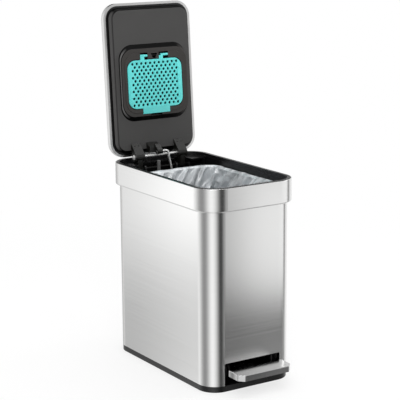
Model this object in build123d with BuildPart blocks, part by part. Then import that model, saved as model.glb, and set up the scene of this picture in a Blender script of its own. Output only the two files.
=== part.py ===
from build123d import *
import os
from math import asin, cos, degrees, radians, sin, tan

os.makedirs("parts", exist_ok=True)

# Slim step trash can, modelled in millimetres with its lid open.
# X runs across the can, Y from the pedal at the front to the hinge at the back, Z up.
# The origin is on the floor, in the middle of the base.

# Body and base
BODY_WIDTH = 175.0
BODY_DEPTH = 315.0
BODY_CORNER = 33.5
SHEET = 0.8
BASE_HEIGHT = 10.8
BASE_INSET = 0.5
BASE_WALL = 2.6
SHELL_TOP = 328.0
CUTOUT_WIDTH = 113.0
CUTOUT_TOP = 50.0

# Collar and rim
OVERHANG = 7.5
COLLAR_WIDTH = BODY_WIDTH + 2 * OVERHANG
COLLAR_DEPTH = BODY_DEPTH + 2 * OVERHANG
COLLAR_CORNER = BODY_CORNER + OVERHANG
COLLAR_BOTTOM = 311.5
COLLAR_SHEET = 1.2
COLLAR_ROLL = 3.0
RIM_TOP = 352.0
RIM_FACE = 8.0
LEDGE_TOP = 331.0

# Bucket and bag
BUCKET_BACK = 93.0
BUCKET_FRONT = -156.2
BUCKET_TOP = 336.0
BUCKET_BOTTOM = 61.5
BUCKET_WALL = 2.0
BUCKET_DRAFT = 1.2
BAG_FILM = 0.8

# Hinge: the lid turns about the axle, between flat on the rim and leaning back
AXLE_Y = 138.0
AXLE_Z = 333.8
AXLE_RADIUS = 2.5
OPEN_ANGLE = 94.2
LID_WIDTH = 180.0
LID_LENGTH = 276.0
LID_CORNER = 28.0
LID_DEPTH = 13.0
LID_BACK_CLOSED = 116.0
HEM_GAP = 0.3
HEM_WIDTH = 6.0

# Panel and filter housing on the underside of the lid
PANEL_RISE = 11.0
PANEL_INSET = 8.0
PANEL_CORNER = 20.0
PANEL_WALL = 2.2
HOUSING_WIDTH = 140.0
HOUSING_HEIGHT = 137.5
HOUSING_MIDDLE = 133.2
HOUSING_CORNER = 27.0
HOUSING_FACE = 17.0
LIP_RISE = 1.0
FILTER_WIDTH = 104.0
FILTER_HEIGHT = 78.0
FILTER_THICK = 7.0
COVER_WIDTH = 114.6
COVER_HEIGHT = 88.5
COVER_MIDDLE = 130.2
COVER_CORNER = 16.0
COVER_SHEET = 2.2
COVER_FACE = 18.2
COVER_HINGE_V = 181.0
COVER_HINGE_H = 15.9
HOLE_RADIUS = 1.9
HOLE_PITCH = 9.2
HOLE_ROWS = 12.4

# Lid hinge arms, seen along the lid (v) and away from it (h)
KNUCKLE_V = 0.57
KNUCKLE_H = 21.16
KNUCKLE_RADIUS = 7.8
ROD_HOLE = 2.55
ARM_INNER = 36.0
ARM_WIDTH = 18.0
LINK_WIDTH = 10.0
HOOK_V = 7.64
HOOK_H = 27.19

# Lift rod and pedal lever
ROD_RADIUS = 2.0
ROD_LENGTH = 312.0
HOOK_Y = 131.5
HOOK_Z = 364.0
PIVOT_Y = -97.0
PIVOT_Z = 22.0
PEDAL_WIDTH = 108.0
PEDAL_DEPTH = 35.5
PEDAL_BACK = -166.0
PEDAL_THICK = 10.6
PEDAL_TOP = 40.2
PEDAL_SLOPE = 1.0
PEDAL_CORNER = 9.5
PEDAL_BEND = 3.2
LEVER_WIDTH = 32.0
LEVER_SHEET = 2.0

# Soft-close damper
DAMPER_X = -14.5
DAMPER_Y = 118.0
DAMPER_RADIUS = 6.5
PLUNGER_RADIUS = 3.2
PLUNGER_TOP = 350.0


def turned(y, z, angle, centre_y, centre_z):
    """Turn a point in the side view about a centre, by an angle in degrees."""
    a = radians(angle)
    dy = y - centre_y
    dz = z - centre_z
    return (
        centre_y + dy * cos(a) - dz * sin(a),
        centre_z + dy * sin(a) + dz * cos(a),
    )


def save(piece, name):
    """Label a finished piece and write it as a STEP file."""
    piece.part.label = name
    export_step(piece.part, f"parts/{name}.step")


# The open lid's frame: x across, y up along the lid (v), z out of its underside (h).
lean = radians(OPEN_ANGLE - 90)
foot_y, foot_z = turned(LID_BACK_CLOSED, RIM_TOP + HEM_GAP, -OPEN_ANGLE, AXLE_Y, AXLE_Z)
LID = Plane(origin=(0, foot_y, foot_z), x_dir=(1, 0, 0), z_dir=(0, -cos(lean), sin(lean)))
LID_SIDE = Plane(origin=(0, foot_y, foot_z), x_dir=(0, sin(lean), cos(lean)), z_dir=(1, 0, 0))
LID_MIDDLE = LID_LENGTH / 2
AXLE_V = LID_SIDE.to_local_coords(Vector(0, AXLE_Y, AXLE_Z)).X
AXLE_H = LID_SIDE.to_local_coords(Vector(0, AXLE_Y, AXLE_Z)).Y
lid_out = Axis(LID.origin, LID.z_dir)

half_width = BODY_WIDTH / 2
half_depth = BODY_DEPTH / 2

# Outer shell: a wrapped steel sheet with the pedal's cut-out at the foot of its front
with BuildPart() as outer_shell:
    with BuildSketch(Plane.XY.offset(BASE_HEIGHT)):
        RectangleRounded(BODY_WIDTH, BODY_DEPTH, BODY_CORNER)
        RectangleRounded(
            BODY_WIDTH - 2 * SHEET, BODY_DEPTH - 2 * SHEET, BODY_CORNER - SHEET, mode=Mode.SUBTRACT
        )
    extrude(amount=SHELL_TOP - BASE_HEIGHT)
    with BuildSketch(Plane.XZ.offset(half_depth - 5)) as cutout:
        with Locations((0, CUTOUT_TOP / 2)):
            Rectangle(CUTOUT_WIDTH, CUTOUT_TOP)
        fillet(cutout.vertices().group_by(Axis.Y)[-1], 3)
    extrude(amount=10, mode=Mode.SUBTRACT)
save(outer_shell, "outer_shell")

# Collar band: the wider steel ring round the top, rolled inwards to a hem at its lower edge
collar_top = RIM_TOP - 0.6
with BuildPart() as collar_hollow:
    with BuildSketch(Plane.XY.offset(COLLAR_BOTTOM + COLLAR_SHEET)):
        RectangleRounded(
            COLLAR_WIDTH - 2 * COLLAR_SHEET,
            COLLAR_DEPTH - 2 * COLLAR_SHEET,
            COLLAR_CORNER - COLLAR_SHEET,
        )
    extrude(amount=collar_top - COLLAR_BOTTOM)
    fillet(collar_hollow.edges().group_by(Axis.Z)[0], COLLAR_ROLL - COLLAR_SHEET)

with BuildPart() as collar_band:
    with BuildSketch(Plane.XY.offset(COLLAR_BOTTOM)):
        RectangleRounded(COLLAR_WIDTH, COLLAR_DEPTH, COLLAR_CORNER)
    extrude(amount=collar_top - COLLAR_BOTTOM)
    fillet(collar_band.edges().group_by(Axis.Z)[0], COLLAR_ROLL)
    fillet(collar_band.edges().group_by(Axis.Z)[-1], COLLAR_SHEET / 2)
    add(collar_hollow.part, mode=Mode.SUBTRACT)
    with BuildSketch(Plane.XY.offset(COLLAR_BOTTOM)):
        RectangleRounded(COLLAR_WIDTH - 9, COLLAR_DEPTH - 9, COLLAR_CORNER - 4.5)
    extrude(amount=COLLAR_SHEET, mode=Mode.SUBTRACT)
save(collar_band, "collar_band")


def ring(bottom, outer, inner):
    """Sketch a ring between two insets from the collar's outer face, at a height."""
    with BuildSketch(Plane.XY.offset(bottom)) as outline:
        RectangleRounded(COLLAR_WIDTH - 2 * outer, COLLAR_DEPTH - 2 * outer, COLLAR_CORNER - outer)
        RectangleRounded(
            COLLAR_WIDTH - 2 * inner,
            COLLAR_DEPTH - 2 * inner,
            COLLAR_CORNER - inner,
            mode=Mode.SUBTRACT,
        )
    return outline.sketch


# Rim frame: the black moulding that closes the top, grips the shell and carries the bucket
skirt_outer = COLLAR_SHEET + 0.1
skirt_wall = 2.2
skirt_bottom = COLLAR_BOTTOM + 3.2
plate_bottom = RIM_TOP - 3
ledge_bottom = LEDGE_TOP - 2.5
ledge_outer = 5.4
ledge_inner = RIM_FACE + 2.8
tongue_bottom = 300.0
with BuildPart() as rim_frame:
    extrude(ring(plate_bottom, skirt_outer, RIM_FACE), amount=RIM_TOP - plate_bottom)
    fillet(rim_frame.edges().group_by(Axis.Z)[-1], 0.8)
    extrude(ring(skirt_bottom, skirt_outer, skirt_outer + skirt_wall), amount=plate_bottom - skirt_bottom)
    extrude(ring(ledge_bottom, RIM_FACE - skirt_wall, RIM_FACE), amount=plate_bottom - ledge_bottom)
    extrude(ring(RIM_TOP - 7.4, RIM_FACE - 0.5, RIM_FACE + 0.7), amount=1.2)
    extrude(ring(ledge_bottom, ledge_outer, ledge_inner), amount=LEDGE_TOP - ledge_bottom)
    extrude(ring(skirt_bottom, ledge_outer, OVERHANG - 0.1), amount=ledge_bottom - skirt_bottom)
    extrude(ring(skirt_bottom, skirt_outer, ledge_outer + 0.5), amount=2)
    tongue = ring(tongue_bottom, OVERHANG + SHEET + 0.1, ledge_inner)
    extrude(tongue, amount=ledge_bottom - tongue_bottom)
save(rim_frame, "rim_frame")

# Base tray: floor, band under the shell, upstand inside it, lever brackets and screw posts
band_width = BODY_WIDTH - 2 * BASE_INSET
band_depth = BODY_DEPTH - 2 * BASE_INSET
band_corner = BODY_CORNER - BASE_INSET
upstand_inset = SHEET + 0.2
bracket_gap = LEVER_WIDTH / 2 + 1.5
bracket_wall = 4.0
DECK_BOTTOM = 57.0
post_places = [(x, y) for x in (-68, 68) for y in (-118, 0, 118)]
pad_places = [(x, y) for x in (-62, 62) for y in (-128, 128)]
with BuildPart() as base_tray:
    with BuildSketch():
        RectangleRounded(band_width, band_depth, band_corner)
    extrude(amount=BASE_HEIGHT)
    fillet(base_tray.edges().group_by(Axis.Z)[0], 1.2)
    with BuildSketch(Plane.XY.offset(BASE_HEIGHT)):
        RectangleRounded(
            BODY_WIDTH - 2 * upstand_inset, BODY_DEPTH - 2 * upstand_inset, BODY_CORNER - upstand_inset
        )
    extrude(amount=10)
    with BuildSketch(Plane.XY.offset(BASE_WALL)):
        RectangleRounded(
            BODY_WIDTH - 2 * upstand_inset - 2 * BASE_WALL,
            BODY_DEPTH - 2 * upstand_inset - 2 * BASE_WALL,
            BODY_CORNER - upstand_inset - BASE_WALL,
        )
    extrude(amount=BASE_HEIGHT + 10, mode=Mode.SUBTRACT)
    with BuildSketch(Plane.XY.offset(BASE_HEIGHT)):
        with Locations((0, -half_depth)):
            Rectangle(CUTOUT_WIDTH, 20)
    extrude(amount=12, mode=Mode.SUBTRACT)
    for side in (-1, 1):
        bracket_face = side * (bracket_gap + bracket_wall / 2) - bracket_wall / 2
        with BuildSketch(Plane.YZ.offset(bracket_face)) as bracket:
            with Locations((PIVOT_Y, PIVOT_Z)):
                Circle(6)
            with Locations((PIVOT_Y, BASE_WALL / 2 + 1)):
                Rectangle(26, BASE_WALL)
            make_hull()
        extrude(amount=bracket_wall)
    with BuildSketch(Plane.XY.offset(BASE_WALL)):
        with Locations(*post_places):
            Circle(4.5)
        for x, y in post_places:
            with Locations((x * 1.09, y)):
                Rectangle(9, 2)
    extrude(amount=DECK_BOTTOM - BASE_WALL)
    with BuildSketch(Plane.XY.offset(DECK_BOTTOM - 16)):
        with Locations(*post_places):
            Circle(1.4)
    extrude(amount=16, mode=Mode.SUBTRACT)
    with BuildSketch(Plane.YZ.offset(-bracket_gap - bracket_wall)):
        with Locations((PIVOT_Y, PIVOT_Z)):
            Circle(AXLE_RADIUS + 0.02)
    extrude(amount=2 * (bracket_gap + bracket_wall), mode=Mode.SUBTRACT)
    with BuildSketch(Plane.XY.offset(BASE_WALL)):
        for x in (-46, 46):
            with Locations((x, 0)):
                Rectangle(1.8, 0.8 * BODY_DEPTH)
    extrude(amount=6)
    with BuildSketch():
        with Locations(*pad_places):
            Circle(9)
    extrude(amount=1.4, mode=Mode.SUBTRACT)
save(base_tray, "base_tray")

# Base pads: four rubber discs let into the underside of the tray
with BuildPart() as base_pads:
    with BuildSketch():
        with Locations(*pad_places):
            Circle(8.9)
    extrude(amount=1.4)
save(base_pads, "base_pads")

# Pedal pin: the steel pin that the lever rocks on, and the clips on its two ends
pin_reach = bracket_gap + bracket_wall + 3.4
with BuildPart() as pedal_pin:
    with BuildSketch(Plane.YZ.offset(-pin_reach)):
        with Locations((PIVOT_Y, PIVOT_Z)):
            Circle(AXLE_RADIUS)
    extrude(amount=2 * pin_reach)
    chamfer(pedal_pin.edges().filter_by(GeomType.CIRCLE), 0.4)
save(pedal_pin, "pedal_pin")


def clip(x, y, z):
    """Sketch a retaining clip, a ring with a gap, round a shaft that lies along X."""
    with BuildSketch(Plane.YZ.offset(x)) as outline:
        with Locations((y, z)):
            Circle(AXLE_RADIUS + 2.2)
            Circle(AXLE_RADIUS, mode=Mode.SUBTRACT)
        with Locations((y, z - 3)):
            Rectangle(2.6, 6, mode=Mode.SUBTRACT)
    return outline.sketch


clip_sheet = 0.9
with BuildPart() as pin_clips:
    clip_reach = bracket_gap + bracket_wall + 1.6
    for x in (-clip_reach, clip_reach - clip_sheet):
        extrude(clip(x, PIVOT_Y, PIVOT_Z), amount=clip_sheet)
save(pin_clips, "pin_clips")

# Pedal lever: a pressed steel channel with a slotted ear at its rear end for the lift rod
tilt_open = degrees(asin((HOOK_Y - turned(HOOK_Y, HOOK_Z, OPEN_ANGLE, AXLE_Y, AXLE_Z)[0]) / ROD_LENGTH))
FOOT_Y = HOOK_Y - ROD_LENGTH * sin(radians(tilt_open))
FOOT_Z = HOOK_Z - ROD_LENGTH * cos(radians(tilt_open))
slot_low = FOOT_Z - ROD_RADIUS - 0.55
slot_high = FOOT_Z + 4.4 + ROD_RADIUS + 0.9
slot_front = FOOT_Y - 11.1 - ROD_RADIUS - 0.8
slot_back = FOOT_Y + ROD_RADIUS + 0.8
pedal_middle = PEDAL_BACK - PEDAL_DEPTH / 2
core_drop = 5.2


def under_tread(y, depth):
    """Height of a line that runs under the pedal's sloping top, at a depth below it."""
    return PEDAL_TOP + (y - pedal_middle) * tan(radians(PEDAL_SLOPE)) - depth


with BuildPart() as pedal_lever:
    tongue_end = PEDAL_BACK - 26
    tongue_root = PEDAL_BACK + 2
    with BuildSketch(Plane.YZ.offset(-LEVER_WIDTH / 2)) as lever_side:
        with BuildLine():
            Polyline(
                (tongue_end, under_tread(tongue_end, core_drop + 3.8)),
                (tongue_end, under_tread(tongue_end, core_drop + 0.05)),
                (tongue_root, under_tread(tongue_root, core_drop + 0.05)),
                (PIVOT_Y - 22, PIVOT_Z + 6.5),
                (PIVOT_Y + 14, PIVOT_Z + 7.5),
                (slot_front - 12, FOOT_Z - 1.5),
                (slot_front - 2, slot_high + 3),
                (slot_back + 3, slot_high + 3),
                (slot_back + 3, slot_low - 3.2),
                (slot_front - 12, slot_low - 3.2),
                (PIVOT_Y + 16, PIVOT_Z - 5),
                (PIVOT_Y - 16, PIVOT_Z - 5),
                (tongue_root, under_tread(tongue_root, core_drop + 5)),
                close=True,
            )
        make_face()
        fillet(lever_side.vertices(), 1.2)
    extrude(amount=LEVER_WIDTH)
    with BuildSketch(Plane.YZ.offset(-LEVER_WIDTH / 2 + LEVER_SHEET)):
        with BuildLine():
            Polyline(
                (PEDAL_BACK - 30, under_tread(PEDAL_BACK - 30, core_drop + LEVER_SHEET)),
                (tongue_root, under_tread(tongue_root, core_drop + LEVER_SHEET)),
                (PIVOT_Y - 22, PIVOT_Z + 4.5),
                (PIVOT_Y + 14, PIVOT_Z + 5.5),
                (slot_front - 12, FOOT_Z - 3.5),
                (slot_front - 8, slot_high + 10),
                (slot_back + 10, slot_high + 10),
                (slot_back + 10, slot_low - 20),
                (PEDAL_BACK - 30, -10),
                close=True,
            )
        make_face()
    extrude(amount=LEVER_WIDTH - 2 * LEVER_SHEET, mode=Mode.SUBTRACT)
    with BuildSketch(Plane.YZ.offset(LEVER_WIDTH / 2 - LEVER_SHEET - 1)) as slot:
        with Locations(((slot_front + slot_back) / 2, (slot_low + slot_high) / 2)):
            RectangleRounded(slot_back - slot_front, slot_high - slot_low, 1.5)
    extrude(amount=LEVER_SHEET + 2, mode=Mode.SUBTRACT)
    with BuildSketch(Plane.YZ.offset(-LEVER_WIDTH)):
        with Locations((PIVOT_Y, PIVOT_Z)):
            Circle(AXLE_RADIUS + 0.06)
    extrude(amount=2 * LEVER_WIDTH, mode=Mode.SUBTRACT)
save(pedal_lever, "pedal_lever")

# Pedal: a moulded core under a folded steel tread, held up from below by two screws
slope = radians(PEDAL_SLOPE)
TREAD = Plane(
    origin=(0, pedal_middle, PEDAL_TOP), x_dir=(1, 0, 0), z_dir=(0, -sin(slope), cos(slope))
)


def tread_outline(depth, inset):
    """Sketch the pedal's plan: straight at the back, with its two front corners cut off."""
    half = PEDAL_WIDTH / 2 - inset
    back = PEDAL_DEPTH / 2 - inset
    cut = PEDAL_CORNER - 0.586 * inset
    with BuildSketch(TREAD.offset(-depth)) as outline:
        with BuildLine():
            FilletPolyline(
                (-half, back),
                (-half, cut - back),
                (cut - half, -back),
                (half - cut, -back),
                (half, cut - back),
                (half, back),
                radius=PEDAL_BEND - inset,
            )
            Line((half, back), (-half, back))
        make_face()
    return outline.sketch


with BuildPart() as pedal_pad:
    extrude(tread_outline(0, 0), amount=-PEDAL_THICK)
    top_face = pedal_pad.faces().sort_by(Axis.Z)[-1]
    fillet(top_face.edges(), 1.2)
    extrude(tread_outline(1.2, 1.2), amount=-PEDAL_THICK, mode=Mode.SUBTRACT)
    with BuildSketch(TREAD.offset(-core_drop)):
        with Locations((0, PEDAL_DEPTH / 2)):
            Rectangle(LEVER_WIDTH + 0.4, 8)
    extrude(amount=-PEDAL_THICK, mode=Mode.SUBTRACT)
save(pedal_pad, "pedal_pad")

with BuildPart() as pad_core:
    extrude(tread_outline(1.2, 1.25), amount=-(PEDAL_THICK - 2.2))
    with BuildSketch(TREAD.offset(-core_drop)):
        Rectangle(LEVER_WIDTH + 0.4, PEDAL_DEPTH + 4)
    extrude(amount=-PEDAL_THICK, mode=Mode.SUBTRACT)
    with BuildSketch(TREAD.offset(-PEDAL_THICK)):
        with GridLocations(64, 0, 2, 1):
            Rectangle(24, PEDAL_DEPTH - 8)
    extrude(amount=PEDAL_THICK - 4.0, mode=Mode.SUBTRACT)
save(pad_core, "pad_core")

with BuildPart() as pad_screws:
    with BuildSketch(TREAD.offset(-core_drop - LEVER_SHEET - 1.8)):
        with GridLocations(16, 0, 2, 1):
            Circle(3)
    extrude(amount=1.8)
save(pad_screws, "pad_screws")

# Pedal bumper: the rubber block that stops the lever when the pedal is down
with BuildPart() as pedal_bumper:
    with BuildSketch(Plane.XY.offset(BASE_WALL)):
        with Locations((0, PEDAL_BACK + 31)):
            RectangleRounded(LEVER_WIDTH - 4, 10, 2)
    extrude(amount=PIVOT_Z - 4 - BASE_WALL)
save(pedal_bumper, "pedal_bumper")

# Floor deck: the platform over the lever that the bucket stands above
with BuildPart() as floor_deck:
    with BuildSketch(Plane.XY.offset(DECK_BOTTOM)):
        RectangleRounded(BODY_WIDTH - 2.6, BODY_DEPTH - 2.6, BODY_CORNER - 1.3)
        with Locations((6, 108.5)):
            RectangleRounded(56, 49, 3, mode=Mode.SUBTRACT)
        with Locations(*post_places):
            Circle(1.7, mode=Mode.SUBTRACT)
    extrude(amount=2.4)
    with BuildSketch(Plane.XY.offset(DECK_BOTTOM - 6)):
        RectangleRounded(BODY_WIDTH - 2.6, BODY_DEPTH - 2.6, BODY_CORNER - 1.3)
        RectangleRounded(BODY_WIDTH - 6.6, BODY_DEPTH - 6.6, BODY_CORNER - 3.3, mode=Mode.SUBTRACT)
        with Locations((0, -half_depth)):
            Rectangle(CUTOUT_WIDTH, 20, mode=Mode.SUBTRACT)
    extrude(amount=6)
save(floor_deck, "floor_deck")

with BuildPart() as deck_screws:
    with BuildSketch(Plane.XY.offset(DECK_BOTTOM + 2.4)):
        with Locations(*post_places):
            Circle(2.9)
    extrude(amount=1.6)
    with BuildSketch(Plane.XY.offset(DECK_BOTTOM - 12)):
        with Locations(*post_places):
            Circle(1.38)
    extrude(amount=15)
save(deck_screws, "deck_screws")

# Inner bucket: a tapered pail that hangs by its flange on the rim's ledge
bucket_middle = (BUCKET_BACK + BUCKET_FRONT) / 2
flange_depth = BUCKET_BACK - BUCKET_FRONT
flange_width = COLLAR_WIDTH - 2 * (RIM_FACE + 0.8)
flange_corner = COLLAR_CORNER - RIM_FACE - 0.8
pail_width = flange_width - 6.4
pail_depth = flange_depth - 6.4
pail_corner = flange_corner - 3.2
pail_height = BUCKET_TOP - BUCKET_BOTTOM
with BuildPart() as inner_bucket:
    with BuildSketch(Plane.XY.offset(BUCKET_TOP)):
        with Locations((0, bucket_middle)):
            RectangleRounded(pail_width, pail_depth, pail_corner)
    extrude(amount=-pail_height, taper=BUCKET_DRAFT)
    fillet(inner_bucket.edges().group_by(Axis.Z)[0], 7)
    with BuildSketch(Plane.XY.offset(BUCKET_TOP - 2)):
        with Locations((0, bucket_middle)):
            RectangleRounded(flange_width, flange_depth, flange_corner)
    extrude(amount=2)
    with BuildSketch(Plane.XY.offset(LEDGE_TOP + 0.1)):
        with Locations((0, bucket_middle)):
            RectangleRounded(flange_width, flange_depth, flange_corner)
            RectangleRounded(
                flange_width - 3.6, flange_depth - 3.6, flange_corner - 1.8, mode=Mode.SUBTRACT
            )
    extrude(amount=BUCKET_TOP - 2 - LEDGE_TOP - 0.1)
    with BuildSketch(Plane.XY.offset(BUCKET_TOP)):
        with Locations((0, bucket_middle)):
            RectangleRounded(
                pail_width - 2 * BUCKET_WALL, pail_depth - 2 * BUCKET_WALL, pail_corner - BUCKET_WALL
            )
    extrude(amount=-(pail_height - BUCKET_WALL), taper=BUCKET_DRAFT, mode=Mode.SUBTRACT)
save(inner_bucket, "inner_bucket")

# Liner bag: a film that lies against the inside of the bucket and folds over its flange
bag_gap = 0.2
bag_outer = BUCKET_WALL + bag_gap
bag_inner = bag_outer + BAG_FILM
with BuildPart() as liner_bag:
    with BuildSketch(Plane.XY.offset(BUCKET_TOP)):
        with Locations((0, bucket_middle)):
            RectangleRounded(
                pail_width - 2 * bag_outer, pail_depth - 2 * bag_outer, pail_corner - bag_outer
            )
    extrude(amount=-(pail_height - BUCKET_WALL - bag_gap), taper=BUCKET_DRAFT)
    with BuildSketch(Plane.XY.offset(BUCKET_TOP + 0.05)):
        with Locations((0, bucket_middle)):
            RectangleRounded(flange_width, flange_depth, flange_corner)
    extrude(amount=BAG_FILM)
    with BuildSketch(Plane.XY.offset(BUCKET_TOP)):
        with Locations((0, bucket_middle)):
            RectangleRounded(
                pail_width - 2 * bag_outer, pail_depth - 2 * bag_outer, pail_corner - bag_outer
            )
    extrude(amount=0.1)
    with BuildSketch(Plane.XY.offset(BUCKET_TOP + 2)):
        with Locations((0, bucket_middle)):
            RectangleRounded(
                pail_width - 2 * bag_inner, pail_depth - 2 * bag_inner, pail_corner - bag_inner
            )
    extrude(amount=-(pail_height - BUCKET_WALL - bag_gap - BAG_FILM + 2), taper=BUCKET_DRAFT, mode=Mode.SUBTRACT)
save(liner_bag, "liner_bag")

# Hinge housing: the moulded tray behind the bucket, with bearing cheeks and a slotted deck
housing_half = COLLAR_WIDTH / 2 - RIM_FACE - 3.2
housing_front = BUCKET_BACK + 1.0
housing_back = COLLAR_DEPTH / 2 - RIM_FACE - 3.2
housing_floor = 296.0
deck_top = RIM_TOP - 6.8
deck_half = COLLAR_WIDTH / 2 - RIM_FACE - 0.9
deck_back = COLLAR_DEPTH / 2 - RIM_FACE - 0.9
deck_front = 119.6
with BuildPart() as hinge_housing:
    with BuildSketch(Plane.XY.offset(housing_floor)) as plan:
        with Locations((0, (housing_front + housing_back) / 2)):
            Rectangle(2 * housing_half, housing_back - housing_front)
        fillet(plan.vertices().group_by(Axis.Y)[-1], COLLAR_CORNER - RIM_FACE - 3.2)
    extrude(amount=LEDGE_TOP - housing_floor)
    with BuildSketch(Plane.XY.offset(housing_floor + 2.2)) as hollow:
        with Locations((0, (housing_front + housing_back) / 2)):
            Rectangle(2 * housing_half - 4.4, housing_back - housing_front - 4.4)
        fillet(hollow.vertices().group_by(Axis.Y)[-1], COLLAR_CORNER - RIM_FACE - 5.4)
    extrude(amount=LEDGE_TOP - housing_floor, mode=Mode.SUBTRACT)
    with BuildSketch(Plane.XY.offset(deck_top - 2.4)) as deck:
        with Locations((0, (deck_front + deck_back) / 2)):
            Rectangle(2 * deck_half, deck_back - deck_front)
        fillet(deck.vertices().group_by(Axis.Y)[-1], COLLAR_CORNER - COLLAR_WIDTH / 2 + deck_half)
        with Locations((0, 130)):
            Rectangle(ARM_INNER * 2 - 4, 22, mode=Mode.SUBTRACT)
        for side in (-1, 1):
            with Locations((side * (ARM_INNER + ARM_WIDTH / 2), 132.5)):
                Rectangle(ARM_WIDTH + 5, 30, mode=Mode.SUBTRACT)
    extrude(amount=2.4)
    for x in (-housing_half + 1.1, housing_half - 1.1):
        with BuildSketch(Plane.XY.offset(LEDGE_TOP - 2)):
            with Locations((x, 121)):
                Rectangle(2.2, 8)
        extrude(amount=deck_top - 2.4 - LEDGE_TOP + 2)
    with BuildSketch(Plane.XY.offset(LEDGE_TOP - 2)):
        with Locations((0, housing_back - 1.1)):
            Rectangle(2 * housing_half - 60, 2.2)
    extrude(amount=deck_top - 2.4 - LEDGE_TOP + 2)
    for x in (-61.2, -34.4, 31.2, 58.0):
        with BuildSketch(Plane.YZ.offset(x)):
            with Locations((AXLE_Y, AXLE_Z)):
                Circle(6)
            with Locations((AXLE_Y, housing_floor + 2)):
                Rectangle(22, 2)
            make_hull()
        extrude(amount=3.2)
    with BuildSketch(Plane.YZ.offset(-70)):
        with Locations((AXLE_Y, AXLE_Z)):
            Circle(AXLE_RADIUS + 0.02)
    extrude(amount=140, mode=Mode.SUBTRACT)
    with BuildSketch(Plane.XY.offset(housing_floor - 14)):
        with Locations((DAMPER_X, DAMPER_Y)):
            Circle(DAMPER_RADIUS + 2.4)
    extrude(amount=15)
    with BuildSketch(Plane.XY.offset(housing_floor - 20)):
        with Locations((DAMPER_X, DAMPER_Y)):
            Circle(DAMPER_RADIUS)
        with Locations((20, 117)):
            RectangleRounded(14, 36, 4)
    extrude(amount=30, mode=Mode.SUBTRACT)
save(hinge_housing, "hinge_housing")

housing_screw_places = [(x, 148.0) for x in (-66, -22, 22, 66)]
with BuildPart() as housing_screws:
    with BuildSketch(Plane.XY.offset(deck_top)):
        with Locations(*housing_screw_places):
            Circle(3)
    extrude(amount=1.6)
    chamfer(housing_screws.edges().group_by(Axis.Z)[-1], 0.5)
save(housing_screws, "housing_screws")

# Hinge axle and its clips
with BuildPart() as hinge_axle:
    with BuildSketch(Plane.YZ.offset(-65)):
        with Locations((AXLE_Y, AXLE_Z)):
            Circle(AXLE_RADIUS)
    extrude(amount=130)
    chamfer(hinge_axle.edges().filter_by(GeomType.CIRCLE), 0.4)
save(hinge_axle, "hinge_axle")

with BuildPart() as axle_clips:
    for x in (-63.2, 63.2 - clip_sheet):
        extrude(clip(x, AXLE_Y, AXLE_Z), amount=clip_sheet)
save(axle_clips, "axle_clips")

# Damper: a cylinder held by the housing, with a plunger that the cross rod presses down
with BuildPart() as damper_cylinder:
    with BuildSketch(Plane.XY.offset(190)):
        with Locations((DAMPER_X, DAMPER_Y)):
            Circle(DAMPER_RADIUS)
    extrude(amount=116)
    fillet(damper_cylinder.edges().filter_by(GeomType.CIRCLE), 1)
    with BuildSketch(Plane.XY.offset(194)):
        with Locations((DAMPER_X, DAMPER_Y)):
            Circle(PLUNGER_RADIUS + 0.05)
    extrude(amount=120, mode=Mode.SUBTRACT)
save(damper_cylinder, "damper_cylinder")

with BuildPart() as damper_plunger:
    with BuildSketch(Plane.XY.offset(224)):
        with Locations((DAMPER_X, DAMPER_Y)):
            Circle(PLUNGER_RADIUS)
    extrude(amount=PLUNGER_TOP - 224)
    fillet(damper_plunger.edges().group_by(Axis.Z)[-1], 1.4)
save(damper_plunger, "damper_plunger")

# Lid cover: a pressed steel pan with rounded edges and a hem turned in round its underside
with BuildPart() as lid_cover:
    with BuildSketch(LID.offset(-LID_DEPTH)):
        with Locations((0, LID_MIDDLE)):
            RectangleRounded(LID_WIDTH, LID_LENGTH, LID_CORNER)
    extrude(amount=LID_DEPTH)
    fillet(lid_cover.faces().sort_by(lid_out)[0].edges(), 6)
    offset(amount=-SHEET, openings=lid_cover.faces().sort_by(lid_out)[-1])
    with BuildSketch(LID.offset(-SHEET)):
        with Locations((0, LID_MIDDLE)):
            RectangleRounded(LID_WIDTH - SHEET, LID_LENGTH - SHEET, LID_CORNER - SHEET / 2)
            RectangleRounded(
                LID_WIDTH - 2 * HEM_WIDTH,
                LID_LENGTH - 2 * HEM_WIDTH,
                LID_CORNER - HEM_WIDTH,
                mode=Mode.SUBTRACT,
            )
    extrude(amount=SHEET)
save(lid_cover, "lid_cover")

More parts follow.
